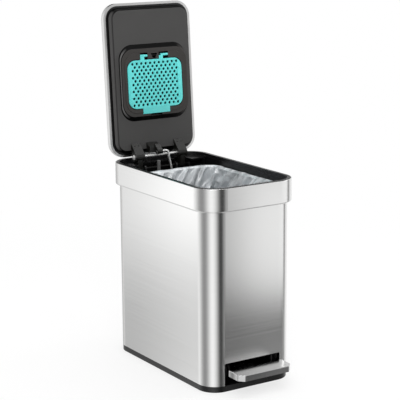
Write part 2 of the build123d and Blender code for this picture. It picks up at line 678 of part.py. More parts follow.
# Lid liner: a moulded tray behind the hem, raised in the middle and ribbed on its hidden side
panel_width = LID_WIDTH - 2 * PANEL_INSET
panel_height = LID_LENGTH - 2 * PANEL_INSET
panel_taper = 13
flange_back = SHEET + 0.1 + 1.8
pan_gap = SHEET + 0.5
pocket_width = FILTER_WIDTH + 2
pocket_height = FILTER_HEIGHT + 2
pocket_wall = 2.0
panel_screws = [(x, 19.0) for x in (-49, -41, -17, -5, 41, 49)]
with BuildPart() as lid_liner:
    with BuildSketch(LID.offset(-SHEET - 0.1)):
        with Locations((0, LID_MIDDLE)):
            RectangleRounded(panel_width, panel_height, PANEL_CORNER)
    extrude(amount=PANEL_RISE + SHEET + 0.1, taper=panel_taper)
    fillet(lid_liner.faces().sort_by(lid_out)[-1].edges(), 3.5)
    with BuildSketch(LID.offset(-flange_back)):
        with Locations((0, LID_MIDDLE)):
            RectangleRounded(panel_width - 4.4, panel_height - 4.4, PANEL_CORNER - 2.2)
    extrude(amount=flange_back + PANEL_RISE - PANEL_WALL, taper=panel_taper, mode=Mode.SUBTRACT)
    with BuildSketch(LID.offset(-flange_back)):
        with Locations((0, LID_MIDDLE)):
            RectangleRounded(LID_WIDTH - 2 * pan_gap, LID_LENGTH - 2 * pan_gap, LID_CORNER - pan_gap)
            RectangleRounded(panel_width - 5, panel_height - 5, PANEL_CORNER - 2.5, mode=Mode.SUBTRACT)
    extrude(amount=1.8)
    with BuildSketch(LID.offset(-LID_DEPTH + SHEET + 0.2)):
        for v in (36, 70, 206, 240):
            with Locations((0, v)):
                Rectangle(panel_width - 16, 1.6)
        for x in (-66, 66):
            with Locations((x, LID_MIDDLE)):
                Rectangle(1.6, panel_height - 22)
    extrude(amount=LID_DEPTH + PANEL_RISE - SHEET - PANEL_WALL)
    with BuildSketch(LID.offset(-2)):
        with Locations((0, COVER_MIDDLE)):
            RectangleRounded(
                pocket_width + 2 * pocket_wall + 0.4, pocket_height + 2 * pocket_wall + 0.4, 12.2
            )
        with Locations(*panel_screws):
            Circle(1.7)
    extrude(amount=PANEL_RISE + 4, mode=Mode.SUBTRACT)
save(lid_liner, "lid_liner")

# Filter housing: the hollow boss on the panel, with the filter's pocket and a raised lip
lip_width = 124.4
lip_height = 108.0
lip_middle = 132.8
lug_spans = [(-29.0, -14.0), (14.0, 29.0)]
stem_spans = [(-29.0, -21.0), (10.0, 18.0)]
latch_width = 56.0
latch_foot = 76.5
with BuildPart() as filter_housing:
    for height, shrink_x, shrink_v, corner in ((0.1, 0, 0, 0), (HOUSING_FACE - PANEL_RISE, 4.4, 17.1, 3)):
        with BuildSketch(LID.offset(PANEL_RISE + height)):
            with Locations((0, HOUSING_MIDDLE)):
                RectangleRounded(
                    HOUSING_WIDTH - shrink_x, HOUSING_HEIGHT - shrink_v, HOUSING_CORNER - corner
                )
    loft()
    with BuildSketch(LID.offset(HOUSING_FACE)):
        with Locations((0, lip_middle)):
            RectangleRounded(lip_width, lip_height, 22)
    extrude(amount=LIP_RISE, taper=20)
    with BuildSketch(LID.offset(PANEL_RISE)):
        with Locations((0, HOUSING_MIDDLE)):
            RectangleRounded(HOUSING_WIDTH - 6, HOUSING_HEIGHT - 10, HOUSING_CORNER - 4)
    extrude(amount=HOUSING_FACE - PANEL_RISE - 2, taper=30, mode=Mode.SUBTRACT)
    with BuildSketch(LID.offset(PANEL_RISE + 0.1)):
        with Locations((0, COVER_HINGE_V - 1)):
            RectangleRounded(76, 16, 3)
        with Locations((0, latch_foot + 4)):
            RectangleRounded(latch_width + 6, 14, 3)
    extrude(amount=HOUSING_FACE - PANEL_RISE - 0.1)
    with BuildSketch(LID.offset(PANEL_RISE - 7.5)):
        with Locations((0, COVER_MIDDLE)):
            RectangleRounded(pocket_width + 2 * pocket_wall, pocket_height + 2 * pocket_wall, 12)
    extrude(amount=HOUSING_FACE - PANEL_RISE + 7.5)
    with BuildSketch(LID.offset(COVER_FACE - COVER_SHEET - 0.2)):
        with Locations((0, COVER_MIDDLE)):
            RectangleRounded(COVER_WIDTH + 0.8, COVER_HEIGHT + 0.8, COVER_CORNER + 0.4)
        with Locations((0, latch_foot + 6)):
            Rectangle(latch_width + 0.8, 13)
    extrude(amount=5, mode=Mode.SUBTRACT)
    with BuildSketch(LID.offset(PANEL_RISE - 5.5)):
        with Locations((0, COVER_MIDDLE)):
            RectangleRounded(pocket_width, pocket_height, 10)
    extrude(amount=20, mode=Mode.SUBTRACT)
    with BuildSketch(LID.offset(PANEL_RISE + 0.9)):
        for low, high in lug_spans + stem_spans:
            with Locations(((low + high) / 2, COVER_HINGE_V - 1.2)):
                Rectangle(high - low + 0.8, 13)
        with Locations((0, COVER_HINGE_V - 1)):
            Trapezoid(14, 9, 65, rotation=180)
    extrude(amount=12, mode=Mode.SUBTRACT)
    with BuildSketch(LID.offset(PANEL_RISE + 2.4)):
        with Locations((0, latch_foot - 1)):
            RectangleRounded(24, 8, 3)
    extrude(amount=10, mode=Mode.SUBTRACT)
    with BuildSketch(LID_SIDE.offset(-32)):
        with Locations((COVER_HINGE_V, COVER_HINGE_H)):
            Circle(1.02)
    extrude(amount=64, mode=Mode.SUBTRACT)
save(filter_housing, "filter_housing")

# Carbon filter: the pad in the pocket behind the cover
with BuildPart() as carbon_filter:
    with BuildSketch(LID.offset(PANEL_RISE - 5.4)):
        with Locations((0, COVER_MIDDLE)):
            RectangleRounded(FILTER_WIDTH, FILTER_HEIGHT, 9)
    extrude(amount=FILTER_THICK)
    fillet(carbon_filter.edges().group_by(lid_out)[-1], 1.5)
save(carbon_filter, "carbon_filter")

# Cover pin: the wire that the filter cover swings on
with BuildPart() as cover_pin:
    with BuildSketch(LID_SIDE.offset(-32)):
        with Locations((COVER_HINGE_V, COVER_HINGE_H)):
            Circle(1)
    extrude(amount=64)
save(cover_pin, "cover_pin")

# Filter cover: a perforated plate with two hooked lugs at its top and a latch tab at its foot
with BuildPart() as filter_cover:
    with BuildSketch(LID.offset(COVER_FACE - COVER_SHEET)):
        with Locations((0, COVER_MIDDLE)):
            RectangleRounded(COVER_WIDTH, COVER_HEIGHT, COVER_CORNER)
        with Locations((0, latch_foot + 6)):
            Rectangle(latch_width, 12)
        for low, high in stem_spans:
            with Locations(((low + high) / 2, COVER_HINGE_V - 6)):
                Rectangle(high - low, 10)
    extrude(amount=COVER_SHEET)
    fillet(filter_cover.faces().sort_by(lid_out)[-1].edges(), 0.5)
    for low, high in lug_spans:
        with BuildSketch(LID_SIDE.offset(low)):
            with Locations((COVER_HINGE_V, COVER_HINGE_H)):
                Circle(COVER_FACE - COVER_HINGE_H)
        extrude(amount=high - low)
    for low, high in stem_spans:
        with BuildSketch(LID_SIDE.offset(low)):
            with Locations((COVER_HINGE_V, COVER_HINGE_H)):
                Circle(COVER_FACE - COVER_HINGE_H)
        extrude(amount=high - low)
    with BuildSketch(LID_SIDE.offset(-32)):
        with Locations((COVER_HINGE_V, COVER_HINGE_H)):
            Circle(1.05)
    extrude(amount=64, mode=Mode.SUBTRACT)
    with BuildSketch(LID.offset(COVER_FACE - COVER_SHEET - 1)):
        with Locations((0, COVER_MIDDLE)):
            with GridLocations(HOLE_PITCH, HOLE_ROWS, 11, 7):
                RegularPolygon(HOLE_RADIUS, 6)
            with GridLocations(HOLE_PITCH, HOLE_ROWS, 10, 6):
                RegularPolygon(HOLE_RADIUS, 6)
    extrude(amount=COVER_SHEET + 2, mode=Mode.SUBTRACT)
save(filter_cover, "filter_cover")

# Hinge arms: each carries the cross rod in its knuckle and turns on the axle with its lower eye
eye_radius = 6.5
foot_low = 14.0
foot_high = 24.0
arm_screw_radius = 1.5
with BuildPart() as hinge_arm_right:
    with BuildSketch(LID_SIDE.offset(ARM_INNER)):
        with Locations((KNUCKLE_V, KNUCKLE_H)):
            Circle(KNUCKLE_RADIUS)
        with Locations(((foot_low + foot_high) / 2, PANEL_RISE + 0.7)):
            Rectangle(foot_high - foot_low, 1.2)
        make_hull()
    extrude(amount=ARM_WIDTH)
    with BuildSketch(LID_SIDE.offset(ARM_INNER + (ARM_WIDTH - LINK_WIDTH) / 2)):
        with Locations((KNUCKLE_V, KNUCKLE_H), (AXLE_V, AXLE_H)):
            Circle(eye_radius)
        make_hull()
    extrude(amount=LINK_WIDTH)
    with BuildSketch(LID_SIDE.offset(ARM_INNER - 1)):
        with Locations((KNUCKLE_V, KNUCKLE_H)):
            Circle(ROD_HOLE)
        with Locations((AXLE_V, AXLE_H)):
            Circle(AXLE_RADIUS + 0.06)
    extrude(amount=ARM_WIDTH + 2, mode=Mode.SUBTRACT)
    with BuildSketch(LID.offset(PANEL_RISE)):
        with Locations((41, 19), (49, 19)):
            Circle(arm_screw_radius + 0.02)
    extrude(amount=5.2, mode=Mode.SUBTRACT)
save(hinge_arm_right, "hinge_arm_right")

with BuildPart() as hinge_arm_left:
    mirror(hinge_arm_right.part, about=Plane.YZ)
save(hinge_arm_left, "hinge_arm_left")

# Hook block: the bracket on the panel that the lift rod's hook turns in
with BuildPart() as hook_block:
    with BuildSketch(LID_SIDE.offset(-22)):
        with BuildLine():
            Polyline(
                (foot_low, PANEL_RISE + 0.1),
                (foot_high, PANEL_RISE + 0.1),
                (16, 23),
                (6, 23),
                (6, 15),
                close=True,
            )
        make_face()
    extrude(amount=22)
    with BuildSketch(LID_SIDE.offset(-10)):
        with Locations((HOOK_V, HOOK_H)):
            Circle(5)
        with Locations((16, 17)):
            Rectangle(8, 8)
        make_hull()
    extrude(amount=10)
    with BuildSketch(LID_SIDE.offset(-11)):
        with Locations((HOOK_V, HOOK_H)):
            Circle(ROD_RADIUS + 0.06)
    extrude(amount=12, mode=Mode.SUBTRACT)
    with BuildSketch(LID.offset(PANEL_RISE)):
        with Locations((-17, 19), (-5, 19)):
            Circle(arm_screw_radius + 0.02)
    extrude(amount=5.2, mode=Mode.SUBTRACT)
save(hook_block, "hook_block")

# Cross rod: the bright steel rod between the two knuckles
with BuildPart() as cross_rod:
    with BuildSketch(LID_SIDE.offset(-ARM_INNER - ARM_WIDTH)):
        with Locations((KNUCKLE_V, KNUCKLE_H)):
            Circle(ROD_HOLE - 0.02)
    extrude(amount=2 * (ARM_INNER + ARM_WIDTH))
    for x in (-ARM_INNER - ARM_WIDTH - 1.2, ARM_INNER + ARM_WIDTH):
        with BuildSketch(LID_SIDE.offset(x)):
            with Locations((KNUCKLE_V, KNUCKLE_H)):
                Circle(4.4)
        extrude(amount=1.2)
save(cross_rod, "cross_rod")

# Arm screws: driven from behind the panel into the arms and the hook block
with BuildPart() as arm_screws:
    with BuildSketch(LID.offset(PANEL_RISE - PANEL_WALL - 1.6)):
        with Locations(*panel_screws):
            Circle(2.9)
    extrude(amount=1.6)
    with BuildSketch(LID.offset(PANEL_RISE - PANEL_WALL)):
        with Locations(*panel_screws):
            Circle(arm_screw_radius)
    extrude(amount=7)
save(arm_screws, "arm_screws")

# Lift rod: one bent wire, hooked into the block at the top and through the lever at the foot
rod_tilt = radians(tilt_open)
ROD_PLANE = Plane(
    origin=(0, HOOK_Y, HOOK_Z), x_dir=(1, 0, 0), z_dir=(0, -cos(rod_tilt), sin(rod_tilt))
)
with BuildPart() as lift_rod:
    with BuildLine(ROD_PLANE) as wire:
        FilletPolyline(
            (-9.5, 0), (12.7, 0), (20, -38), (20, -ROD_LENGTH), (8, -ROD_LENGTH), radius=4.5
        )
    with BuildSketch(Plane(origin=wire.line @ 0, z_dir=wire.line % 0)):
        Circle(ROD_RADIUS)
    sweep()
save(lift_rod, "lift_rod")
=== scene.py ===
"""Slim step trash can with its lid open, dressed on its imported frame."""
from __future__ import annotations

import logging
import math
from dataclasses import dataclass
from enum import Enum
from typing import Sequence

import bpy
import numpy as np
from mathutils import Matrix, Vector, noise


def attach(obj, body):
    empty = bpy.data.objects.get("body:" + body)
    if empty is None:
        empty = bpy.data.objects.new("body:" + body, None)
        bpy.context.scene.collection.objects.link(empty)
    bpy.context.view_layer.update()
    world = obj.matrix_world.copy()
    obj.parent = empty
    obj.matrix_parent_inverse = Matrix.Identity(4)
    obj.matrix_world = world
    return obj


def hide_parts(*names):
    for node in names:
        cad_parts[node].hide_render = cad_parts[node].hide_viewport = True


LOG = logging.getLogger("step_can")
MM = 0.001
Pair = tuple[float, float]
Place = tuple[float, float, float]
Colour = tuple[float, float, float]
Levels = tuple[tuple[float, Colour], ...]
Stops = tuple[Pair, ...]
Rows = list[Pair]
Ring = list[tuple[Vector, Vector]]
Socket = bpy.types.NodeSocket
Finish = bpy.types.Material
Piece = bpy.types.Object
Mesh = bpy.types.Mesh

# The lid's underside: its origin, the way it faces, and how far along that way its hem lies
LID_ORIGIN = (0.0, 0.15806, 0.35439)
LID_OUT = (0.0, -0.99731, 0.07324)
LID_FOOT = -0.131679

# Most of a noise's values lie between these
NOISE_SPAN = (0.3, 0.7)
# The lights that only gloss mirrors are this many times as strong as their written levels
LIGHT_SCALE = 2.0
# The photograph's width in pixels, and the width of the camera's sensor in millimetres
PHOTO_WIDTH = 400.0
SENSOR = 36.0
# Faces that meet at less than this are shaded as one curve
SMOOTH_BEND = math.radians(35.0)
# Stands for no length, where a length is divided by
TINY = 1e-9


class Grain(Enum):
    """How a texture is scaled along the three axes."""

    EVEN = (1.0, 1.0, 1.0)
    LEVEL = (4.0, 4.0, 900.0)
    DRAWN = (1.0, 1.0, 0.2)


def tone(colour: Colour, factor: float) -> Colour:
    """A colour made lighter or darker by a factor."""
    return (colour[0] * factor, colour[1] * factor, colour[2] * factor)


def greys(stops: Sequence[Pair]) -> Levels:
    """Grey tones for a ramp, from its places and how light each is."""
    return tuple((place, (light, light, light)) for place, light in stops)


class NodeTree:
    """A node tree, laid out one node at a time."""

    def __init__(self, owner: Finish | bpy.types.World) -> None:
        """Start with an empty tree.

        Args:
            owner: The material or world that has the tree.
        """
        owner.use_nodes = True
        self.nodes = owner.node_tree.nodes
        self.links = owner.node_tree.links
        self.nodes.clear()

    def add(self, kind: str, **values: object) -> bpy.types.Node:
        """Add a node.

        Args:
            kind: The node's type.
            values: Its properties and what they are set to.

        Returns:
            The node.
        """
        node = self.nodes.new(kind)
        for key, value in values.items():
            setattr(node, key, value)
        return node

    def maths(self, operation: str, *values: Socket | float) -> Socket:
        """Work out a number.

        Args:
            operation: What is done.
            values: The sockets or plain numbers that it is done with.

        Returns:
            The socket that gives the number.
        """
        node = self.add("ShaderNodeMath", operation=operation)
        for socket, value in zip(node.inputs, values):
            if isinstance(value, float):
                socket.default_value = value
            else:
                self.links.new(value, socket)
        return node.outputs["Value"]

    def ranged(self, value: Socket, start: Pair, end: Pair, ease: str = "LINEAR") -> Socket:
        """Carry a value from one range over to another.

        Args:
            value: The socket that gives it.
            start: The range that it comes from, outside which it stays at the ends.
            end: The range that it goes to.
            ease: How it runs from end to end.

        Returns:
            The socket that gives the new value.
        """
        node = self.add("ShaderNodeMapRange", interpolation_type=ease)
        for name, limit in zip(("From Min", "From Max", "To Min", "To Max"), (*start, *end)):
            node.inputs[name].default_value = limit
        self.links.new(value, node.inputs["Value"])
        return node.outputs["Result"]

    def ramp(self, value: Socket, stops: Levels) -> Socket:
        """Turn a value into a tone.

        Args:
            value: The socket that gives it.
            stops: Values from 0 to 1 and their tones.

        Returns:
            The socket that gives the tone.
        """
        node = self.add("ShaderNodeValToRGB")
        points = node.color_ramp.elements
        while len(points) < len(stops):
            points.new(1.0)
        for point, (place, colour) in zip(points, stops):
            point.position = place
            point.color = (*colour, 1.0)
        self.links.new(value, node.inputs["Fac"])
        return node.outputs["Color"]

    def mixed(self, share: Socket, first: Socket, second: Socket) -> Socket:
        """Mix two shaders.

        Args:
            share: The socket that gives the second one's share.
            first: The first shader.
            second: The second shader.

        Returns:
            The mixed shader.
        """
        node = self.add("ShaderNodeMixShader")
        for socket, source in zip(node.inputs, (share, first, second)):
            self.links.new(source, socket)
        return node.outputs["Shader"]


class NodeSheet(NodeTree):
    """A new material with a Principled shader and its output."""

    def __init__(self, name: str) -> None:
        """Start the material.

        Args:
            name: The material's name.
        """
        self.material = bpy.data.materials.new(name)
        super().__init__(self.material)
        self.output = self.add("ShaderNodeOutputMaterial")
        self.shader = self.add("ShaderNodeBsdfPrincipled")
        self.links.new(self.shader.outputs["BSDF"], self.output.inputs["Surface"])

    def set(self, **values: object) -> None:
        """Set plain values on the shader's own sockets, named with underscores for spaces."""
        for key, value in values.items():
            self.shader.inputs[key.replace("_", " ")].default_value = value

    def place(self, grain: Grain) -> Socket:
        """Object coordinates.

        Args:
            grain: How they are scaled.

        Returns:
            The socket that gives them.
        """
        mapping = self.add("ShaderNodeMapping")
        mapping.inputs["Scale"].default_value = grain.value
        self.links.new(self.add("ShaderNodeTexCoord").outputs["Object"], mapping.inputs["Vector"])
        return mapping.outputs["Vector"]

    def noise(self, place: Socket, scale: float, detail: float) -> Socket:
        """A noise texture.

        Args:
            place: The socket that gives the coordinates.
            scale: The noise's scale.
            detail: How many octaves it has.

        Returns:
            The socket that gives the noise.
        """
        node = self.add("ShaderNodeTexNoise")
        node.inputs["Scale"].default_value = scale
        node.inputs["Detail"].default_value = detail
        self.links.new(place, node.inputs["Vector"])
        return node.outputs["Fac"]

    def between(self, source: Socket, low: float, high: float) -> None:
        """Vary the roughness from low, where a texture is dark, to high."""
        self.links.new(self.ranged(source, NOISE_SPAN, (low, high)), self.shader.inputs["Roughness"])

    def colours(self, source: Socket, colour: Colour, shades: Pair) -> None:
        """Colour the surface, a little unevenly.

        Args:
            source: The socket that gives the texture that it varies by.
            colour: The surface's colour.
            shades: What the colour is multiplied by where the texture is dark, and where it is light.
        """
        stops = tuple((place, tone(colour, shade)) for place, shade in zip(NOISE_SPAN, shades))
        self.links.new(self.ramp(source, stops), self.shader.inputs["Base Color"])

    def bump(self, source: Socket, height: float, strength: float = 1.0) -> None:
        """Raise the surface by a texture.

        Args:
            source: The socket that gives the texture.
            height: Height of the relief, in metres.
            strength: How strongly it shows.
        """
        node = self.add("ShaderNodeBump")
        node.inputs["Distance"].default_value = height
        node.inputs["Strength"].default_value = strength
        self.links.new(source, node.inputs["Height"])
        self.links.new(node.outputs["Normal"], self.shader.inputs["Normal"])

    def satin(self, place: Socket, roughness: float, relief: float) -> None:
        """Give moulded plastic its satin surface.

        Args:
            place: The socket that gives the coordinates.
            roughness: The middle of its roughness.
            relief: Height of its fine grain, in metres.
        """
        spread = 0.04
        self.between(self.noise(place, scale=40.0, detail=3.0), roughness - spread, roughness + spread)
        self.bump(self.noise(place, scale=1400.0, detail=2.0), relief, strength=0.4)


@dataclass(frozen=True)
class BrushedSteel:
    """Stainless sheet with a fine brushed grain that runs level."""

    name: str
    colour: Colour = (0.75, 0.75, 0.745)
    shades: Pair = (0.98, 1.02)
    roughness: float = 0.24
    spread: float = 0.02
    stretch: float = 0.7
    relief: float = 0.000003

    def make(self) -> Finish:
        """Build the material.

        Returns:
            The material.
        """
        sheet = NodeSheet(self.name)
        sheet.set(Metallic=1.0, Anisotropic=self.stretch, Anisotropic_Rotation=0.25)
        lines = sheet.noise(sheet.place(Grain.LEVEL), scale=1.0, detail=4.0)
        sheet.colours(lines, self.colour, self.shades)
        sheet.between(lines, self.roughness - self.spread, self.roughness + self.spread)
        sheet.bump(lines, self.relief, strength=0.12)
        tangent = sheet.add("ShaderNodeTangent", direction_type="RADIAL", axis="Z")
        sheet.links.new(tangent.outputs["Tangent"], sheet.shader.inputs["Tangent"])
        return sheet.material


@dataclass(frozen=True)
class MouldedPlastic:
    """Injection-moulded plastic with a fine satin texture."""

    name: str
    colour: Colour
    roughness: float
    relief: float = 0.00002
    shades: Pair = (0.94, 1.06)

    def make(self) -> Finish:
        """Build the material.

        Returns:
            The material.
        """
        sheet = NodeSheet(self.name)
        sheet.set(Metallic=0.0)
        place = sheet.place(Grain.EVEN)
        sheet.colours(sheet.noise(place, scale=9.0, detail=2.0), self.colour, self.shades)
        sheet.satin(place, self.roughness, self.relief)
        return sheet.material


@dataclass(frozen=True)
class PlainMetal:
    """Drawn or plated metal with faint marks."""

    name: str
    colour: Colour
    roughness: float
    relief: float = 0.00001
    shades: Pair = (0.93, 1.05)
    wear: Pair = (0.8, 1.25)

    def make(self) -> Finish:
        """Build the material.

        Returns:
            The material.
        """
        sheet = NodeSheet(self.name)
        sheet.set(Metallic=1.0)
        marks = sheet.noise(sheet.place(Grain.DRAWN), scale=260.0, detail=3.0)
        sheet.colours(marks, self.colour, self.shades)
        sheet.between(marks, *(self.roughness * share for share in self.wear))
        sheet.bump(marks, self.relief, strength=0.3)
        return sheet.material


@dataclass(frozen=True)
class CarbonFelt:
    """Black felt loaded with carbon."""

    name: str
    colour: Colour = (0.02, 0.02, 0.02)
    shades: Pair = (0.2, 1.0)
    relief: float = 0.0004

    def make(self) -> Finish:
        """Build the material.

        Returns:
            The material.
        """
        sheet = NodeSheet(self.name)
        sheet.set(Roughness=0.95)
        fibre = sheet.noise(sheet.place(Grain.EVEN), scale=700.0, detail=5.0)
        sheet.colours(fibre, self.colour, self.shades)
        sheet.bump(fibre, self.relief, strength=0.8)
        return sheet.material


@dataclass(frozen=True)
class BagFilm:
    """Thin pale film, glossy and creased aslant, with painted fold shade and light, on the film's own flat
    coordinates.
    """

    name: str
    colour: Colour = (0.57, 0.595, 0.615)
    # How far the painted fold shade darkens the colour, and how far the painted fold light lightens it
    shades: Pair = (0.54, 1.52)
    roughness: Pair = (0.20, 0.32)
    crease: float = 0.13
    relief: float = 0.030

    def make(self) -> Finish:
        """Build the material.

        Returns:
            The material.
        """
        sheet = NodeSheet(self.name)
        sheet.set(Metallic=0.0, Specular_IOR_Level=0.9, Coat_Weight=1.0, Coat_Roughness=0.08)
        sheet.between(sheet.noise(sheet.place(Grain.EVEN), scale=30.0, detail=2.0), *self.roughness)
        flat = sheet.add("ShaderNodeUVMap", uv_map="aslant").outputs["UV"]
        # Streaks along the folds: painted shade where the texture is dark, painted light where it is light
        sheet.colours(sheet.noise(flat, scale=20.0, detail=2.0), self.colour, self.shades)
        creases = sheet.maths("PINGPONG", sheet.noise(flat, scale=30.0, detail=1.0), self.crease)
        sheet.bump(creases, self.relief)
        return sheet.material


@dataclass(frozen=True)
class LidMoulding:
    """Charcoal plastic of the lid's underside, with painted light and shade by height, different on each
    side.
    """

    name: str
    # Painted light and shade on the left, in the middle and on the right, as heights above the hem and tones
    left: Levels
    middle: Levels
    right: Levels
    sides: Pair
    roughness: float = 0.40
    reach: float = 0.02
    blend: float = 0.006
    relief: float = 0.00002
    shades: Pair = (0.90, 1.10)

    def band(self, sheet: NodeSheet, rise: Socket, levels: Levels) -> Socket:
        """The painted light and shade of one side, by the height above the hem as a share of the reach."""
        return sheet.ramp(rise, tuple((level / self.reach, colour) for level, colour in levels))

    def make(self) -> Finish:
        """Build the material.

        Returns:
            The material.
        """
        sheet = NodeSheet(self.name)
        sheet.set(Metallic=0.0, Specular_IOR_Level=0.06)
        place = sheet.place(Grain.EVEN)
        out = sheet.add("ShaderNodeVectorMath", operation="DOT_PRODUCT")
        out.inputs[1].default_value = LID_OUT
        sheet.links.new(place, out.inputs[0])
        rise = sheet.ranged(out.outputs["Value"], (LID_FOOT, LID_FOOT + self.reach), (0.0, 1.0))
        split = sheet.add("ShaderNodeSeparateXYZ")
        sheet.links.new(place, split.inputs["Vector"])
        # Painted light and shade by height on the left, mixed over to the middle's and then the right's at
        # the sides
        tones = self.band(sheet, rise, self.left)
        for levels, edge in ((self.middle, self.sides[0]), (self.right, self.sides[1])):
            over = sheet.ranged(split.outputs["X"], (edge - self.blend, edge + self.blend), (0.0, 1.0))
            mix = sheet.add("ShaderNodeMix", data_type="RGBA")
            first, second = (socket for socket in mix.inputs if socket.type == "RGBA")
            sheet.links.new(over, mix.inputs[0])
            sheet.links.new(tones, first)
            sheet.links.new(self.band(sheet, rise, levels), second)
            tones = next(socket for socket in mix.outputs if socket.type == "RGBA")
        tint = sheet.add("ShaderNodeVectorMath", operation="SCALE")
        sheet.links.new(tones, tint.inputs["Vector"])
        shade = sheet.ranged(sheet.noise(place, scale=9.0, detail=2.0), (0.0, 1.0), self.shades)
        sheet.links.new(shade, tint.inputs["Scale"])
        sheet.links.new(tint.outputs["Vector"], sheet.shader.inputs["Base Color"])
        sheet.satin(place, self.roughness, self.relief)
        return sheet.material


@dataclass
class Finishes:
    """Every finish on the can, made once."""

    # Tones for the lid mouldings: painted shade on their feet and walls, painted light on their left walls,
    # and a thin painted shade line at the panel face's edge. The face and boss tones are the plastic's own
    # colour.
    painted_shade_tone: Colour = (0.002, 0.002, 0.002)
    painted_edge_shade_tone: Colour = (0.045, 0.044, 0.044)
    painted_light_tone: Colour = (0.125, 0.123, 0.122)
    face_tone: Colour = (0.072, 0.071, 0.070)
    boss_tone: Colour = (0.052, 0.049, 0.047)

    def __post_init__(self) -> None:
        """Make the materials."""
        fine = 0.00001
        self.shell = BrushedSteel("brushed_shell").make()
        self.lid = BrushedSteel("brushed_lid", roughness=0.3).make()
        self.tread = BrushedSteel("brushed_tread", (0.54, 0.54, 0.54), roughness=0.17, stretch=0.3).make()
        self.black = MouldedPlastic("black_moulding", (0.006, 0.006, 0.0065), 0.3, fine).make()
        self.bucket = MouldedPlastic("bucket_moulding", (0.02, 0.02, 0.021), 0.4).make()
        self.arm = MouldedPlastic("arm_moulding", (0.007, 0.007, 0.006), 0.35, fine).make()
        self.panel = self.panel_moulding().make()
        self.housing = self.housing_moulding().make()
        self.cover = MouldedPlastic("cover_moulding", (0.115, 0.69, 0.67), 0.36, fine).make()
        self.plunger = MouldedPlastic("plunger_moulding", (0.13, 0.13, 0.13), 0.3, fine).make()
        self.oxide = PlainMetal("black_oxide", (0.03, 0.03, 0.03), 0.45).make()
        self.rod = PlainMetal("zinc_wire", (0.88, 0.88, 0.87), 0.42).make()
        self.rubber = MouldedPlastic("foot_rubber", (0.015, 0.015, 0.015), 0.75).make()
        self.felt = CarbonFelt("carbon_felt").make()
        self.film = BagFilm("bag_film").make()

    def panel_moulding(self) -> LidMoulding:
        """The raised panel: painted shade on its foot and walls, painted light on its left wall, and a thin
        painted shade line at the edge of its face.

        Returns:
            Its finish, not built yet.
        """
        # The black tone is painted shade and the wall tone is painted light; only the face tone is the
        # plastic's own colour
        black, wall, face = self.painted_shade_tone, self.painted_light_tone, self.face_tone
        foot = (0.0, black)
        return LidMoulding(
            "panel_moulding",
            left=(
                foot, (0.0016, black), (0.0030, wall), (0.0088, wall), (0.0103, self.painted_edge_shade_tone),
                (0.0109, face),
            ),
            middle=(foot, (0.01075, black), (0.01092, face)),
            right=(foot, (0.0020, black), (0.0036, face), (0.0110, face)),
            sides=(-0.078, 0.078),
        )

    def housing_moulding(self) -> LidMoulding:
        """The filter's housing: a painted highlight line on its left wall, and painted shade on its walls and
        round its face.

        Returns:
            Its finish, not built yet.
        """
        # The black tone is painted shade and the wall tone is a painted highlight line; only the boss tone is
        # the plastic's own colour
        black, wall, boss = self.painted_shade_tone, self.painted_light_tone, self.boss_tone
        foot = (0.0, black)
        return LidMoulding(
            "housing_moulding",
            left=(
                foot, (0.0128, black), (0.0136, wall), (0.0152, wall), (0.0158, black), (0.0168, black),
                (0.01695, boss),
            ),
            middle=(foot, (0.0164, black), (0.0168, boss)),
            right=(foot, (0.0120, black), (0.0140, boss), (0.0168, boss)),
            sides=(-0.060, 0.056),
        )


@dataclass(frozen=True)
class Card:
    """A graded card that faces the can from one direction."""

    name: str
    # The point that it faces, and the direction in degrees and the distance that it stands away
    foot: Pair
    azimuth: float
    distance: float
    # Its ends to each side and in height, and how light it is from end to end
    span: Pair
    height: Pair
    upward: Stops
    across: Stops

    def corners(self) -> list[Vector]:
        """Work out where the card's corners are.

        Returns:
            The low left, low right, high right and high left corner, in metres.
        """
        turn = math.radians(self.azimuth)
        away = Vector((math.cos(turn), math.sin(turn), 0.0))
        along = Vector((-away.y, away.x, 0.0))
        middle = Vector((*self.foot, 0.0)) + away * self.distance
        left, right = (middle + along * end for end in self.span)
        low, high = (Vector((0.0, 0.0, level)) for level in self.height)
        return [left + low, right + low, right + high, left + high]


@dataclass(frozen=True)
class Lamp:
    """A soft rectangular lamp."""

    name: str
    place: Place
    size: Pair
    power: float


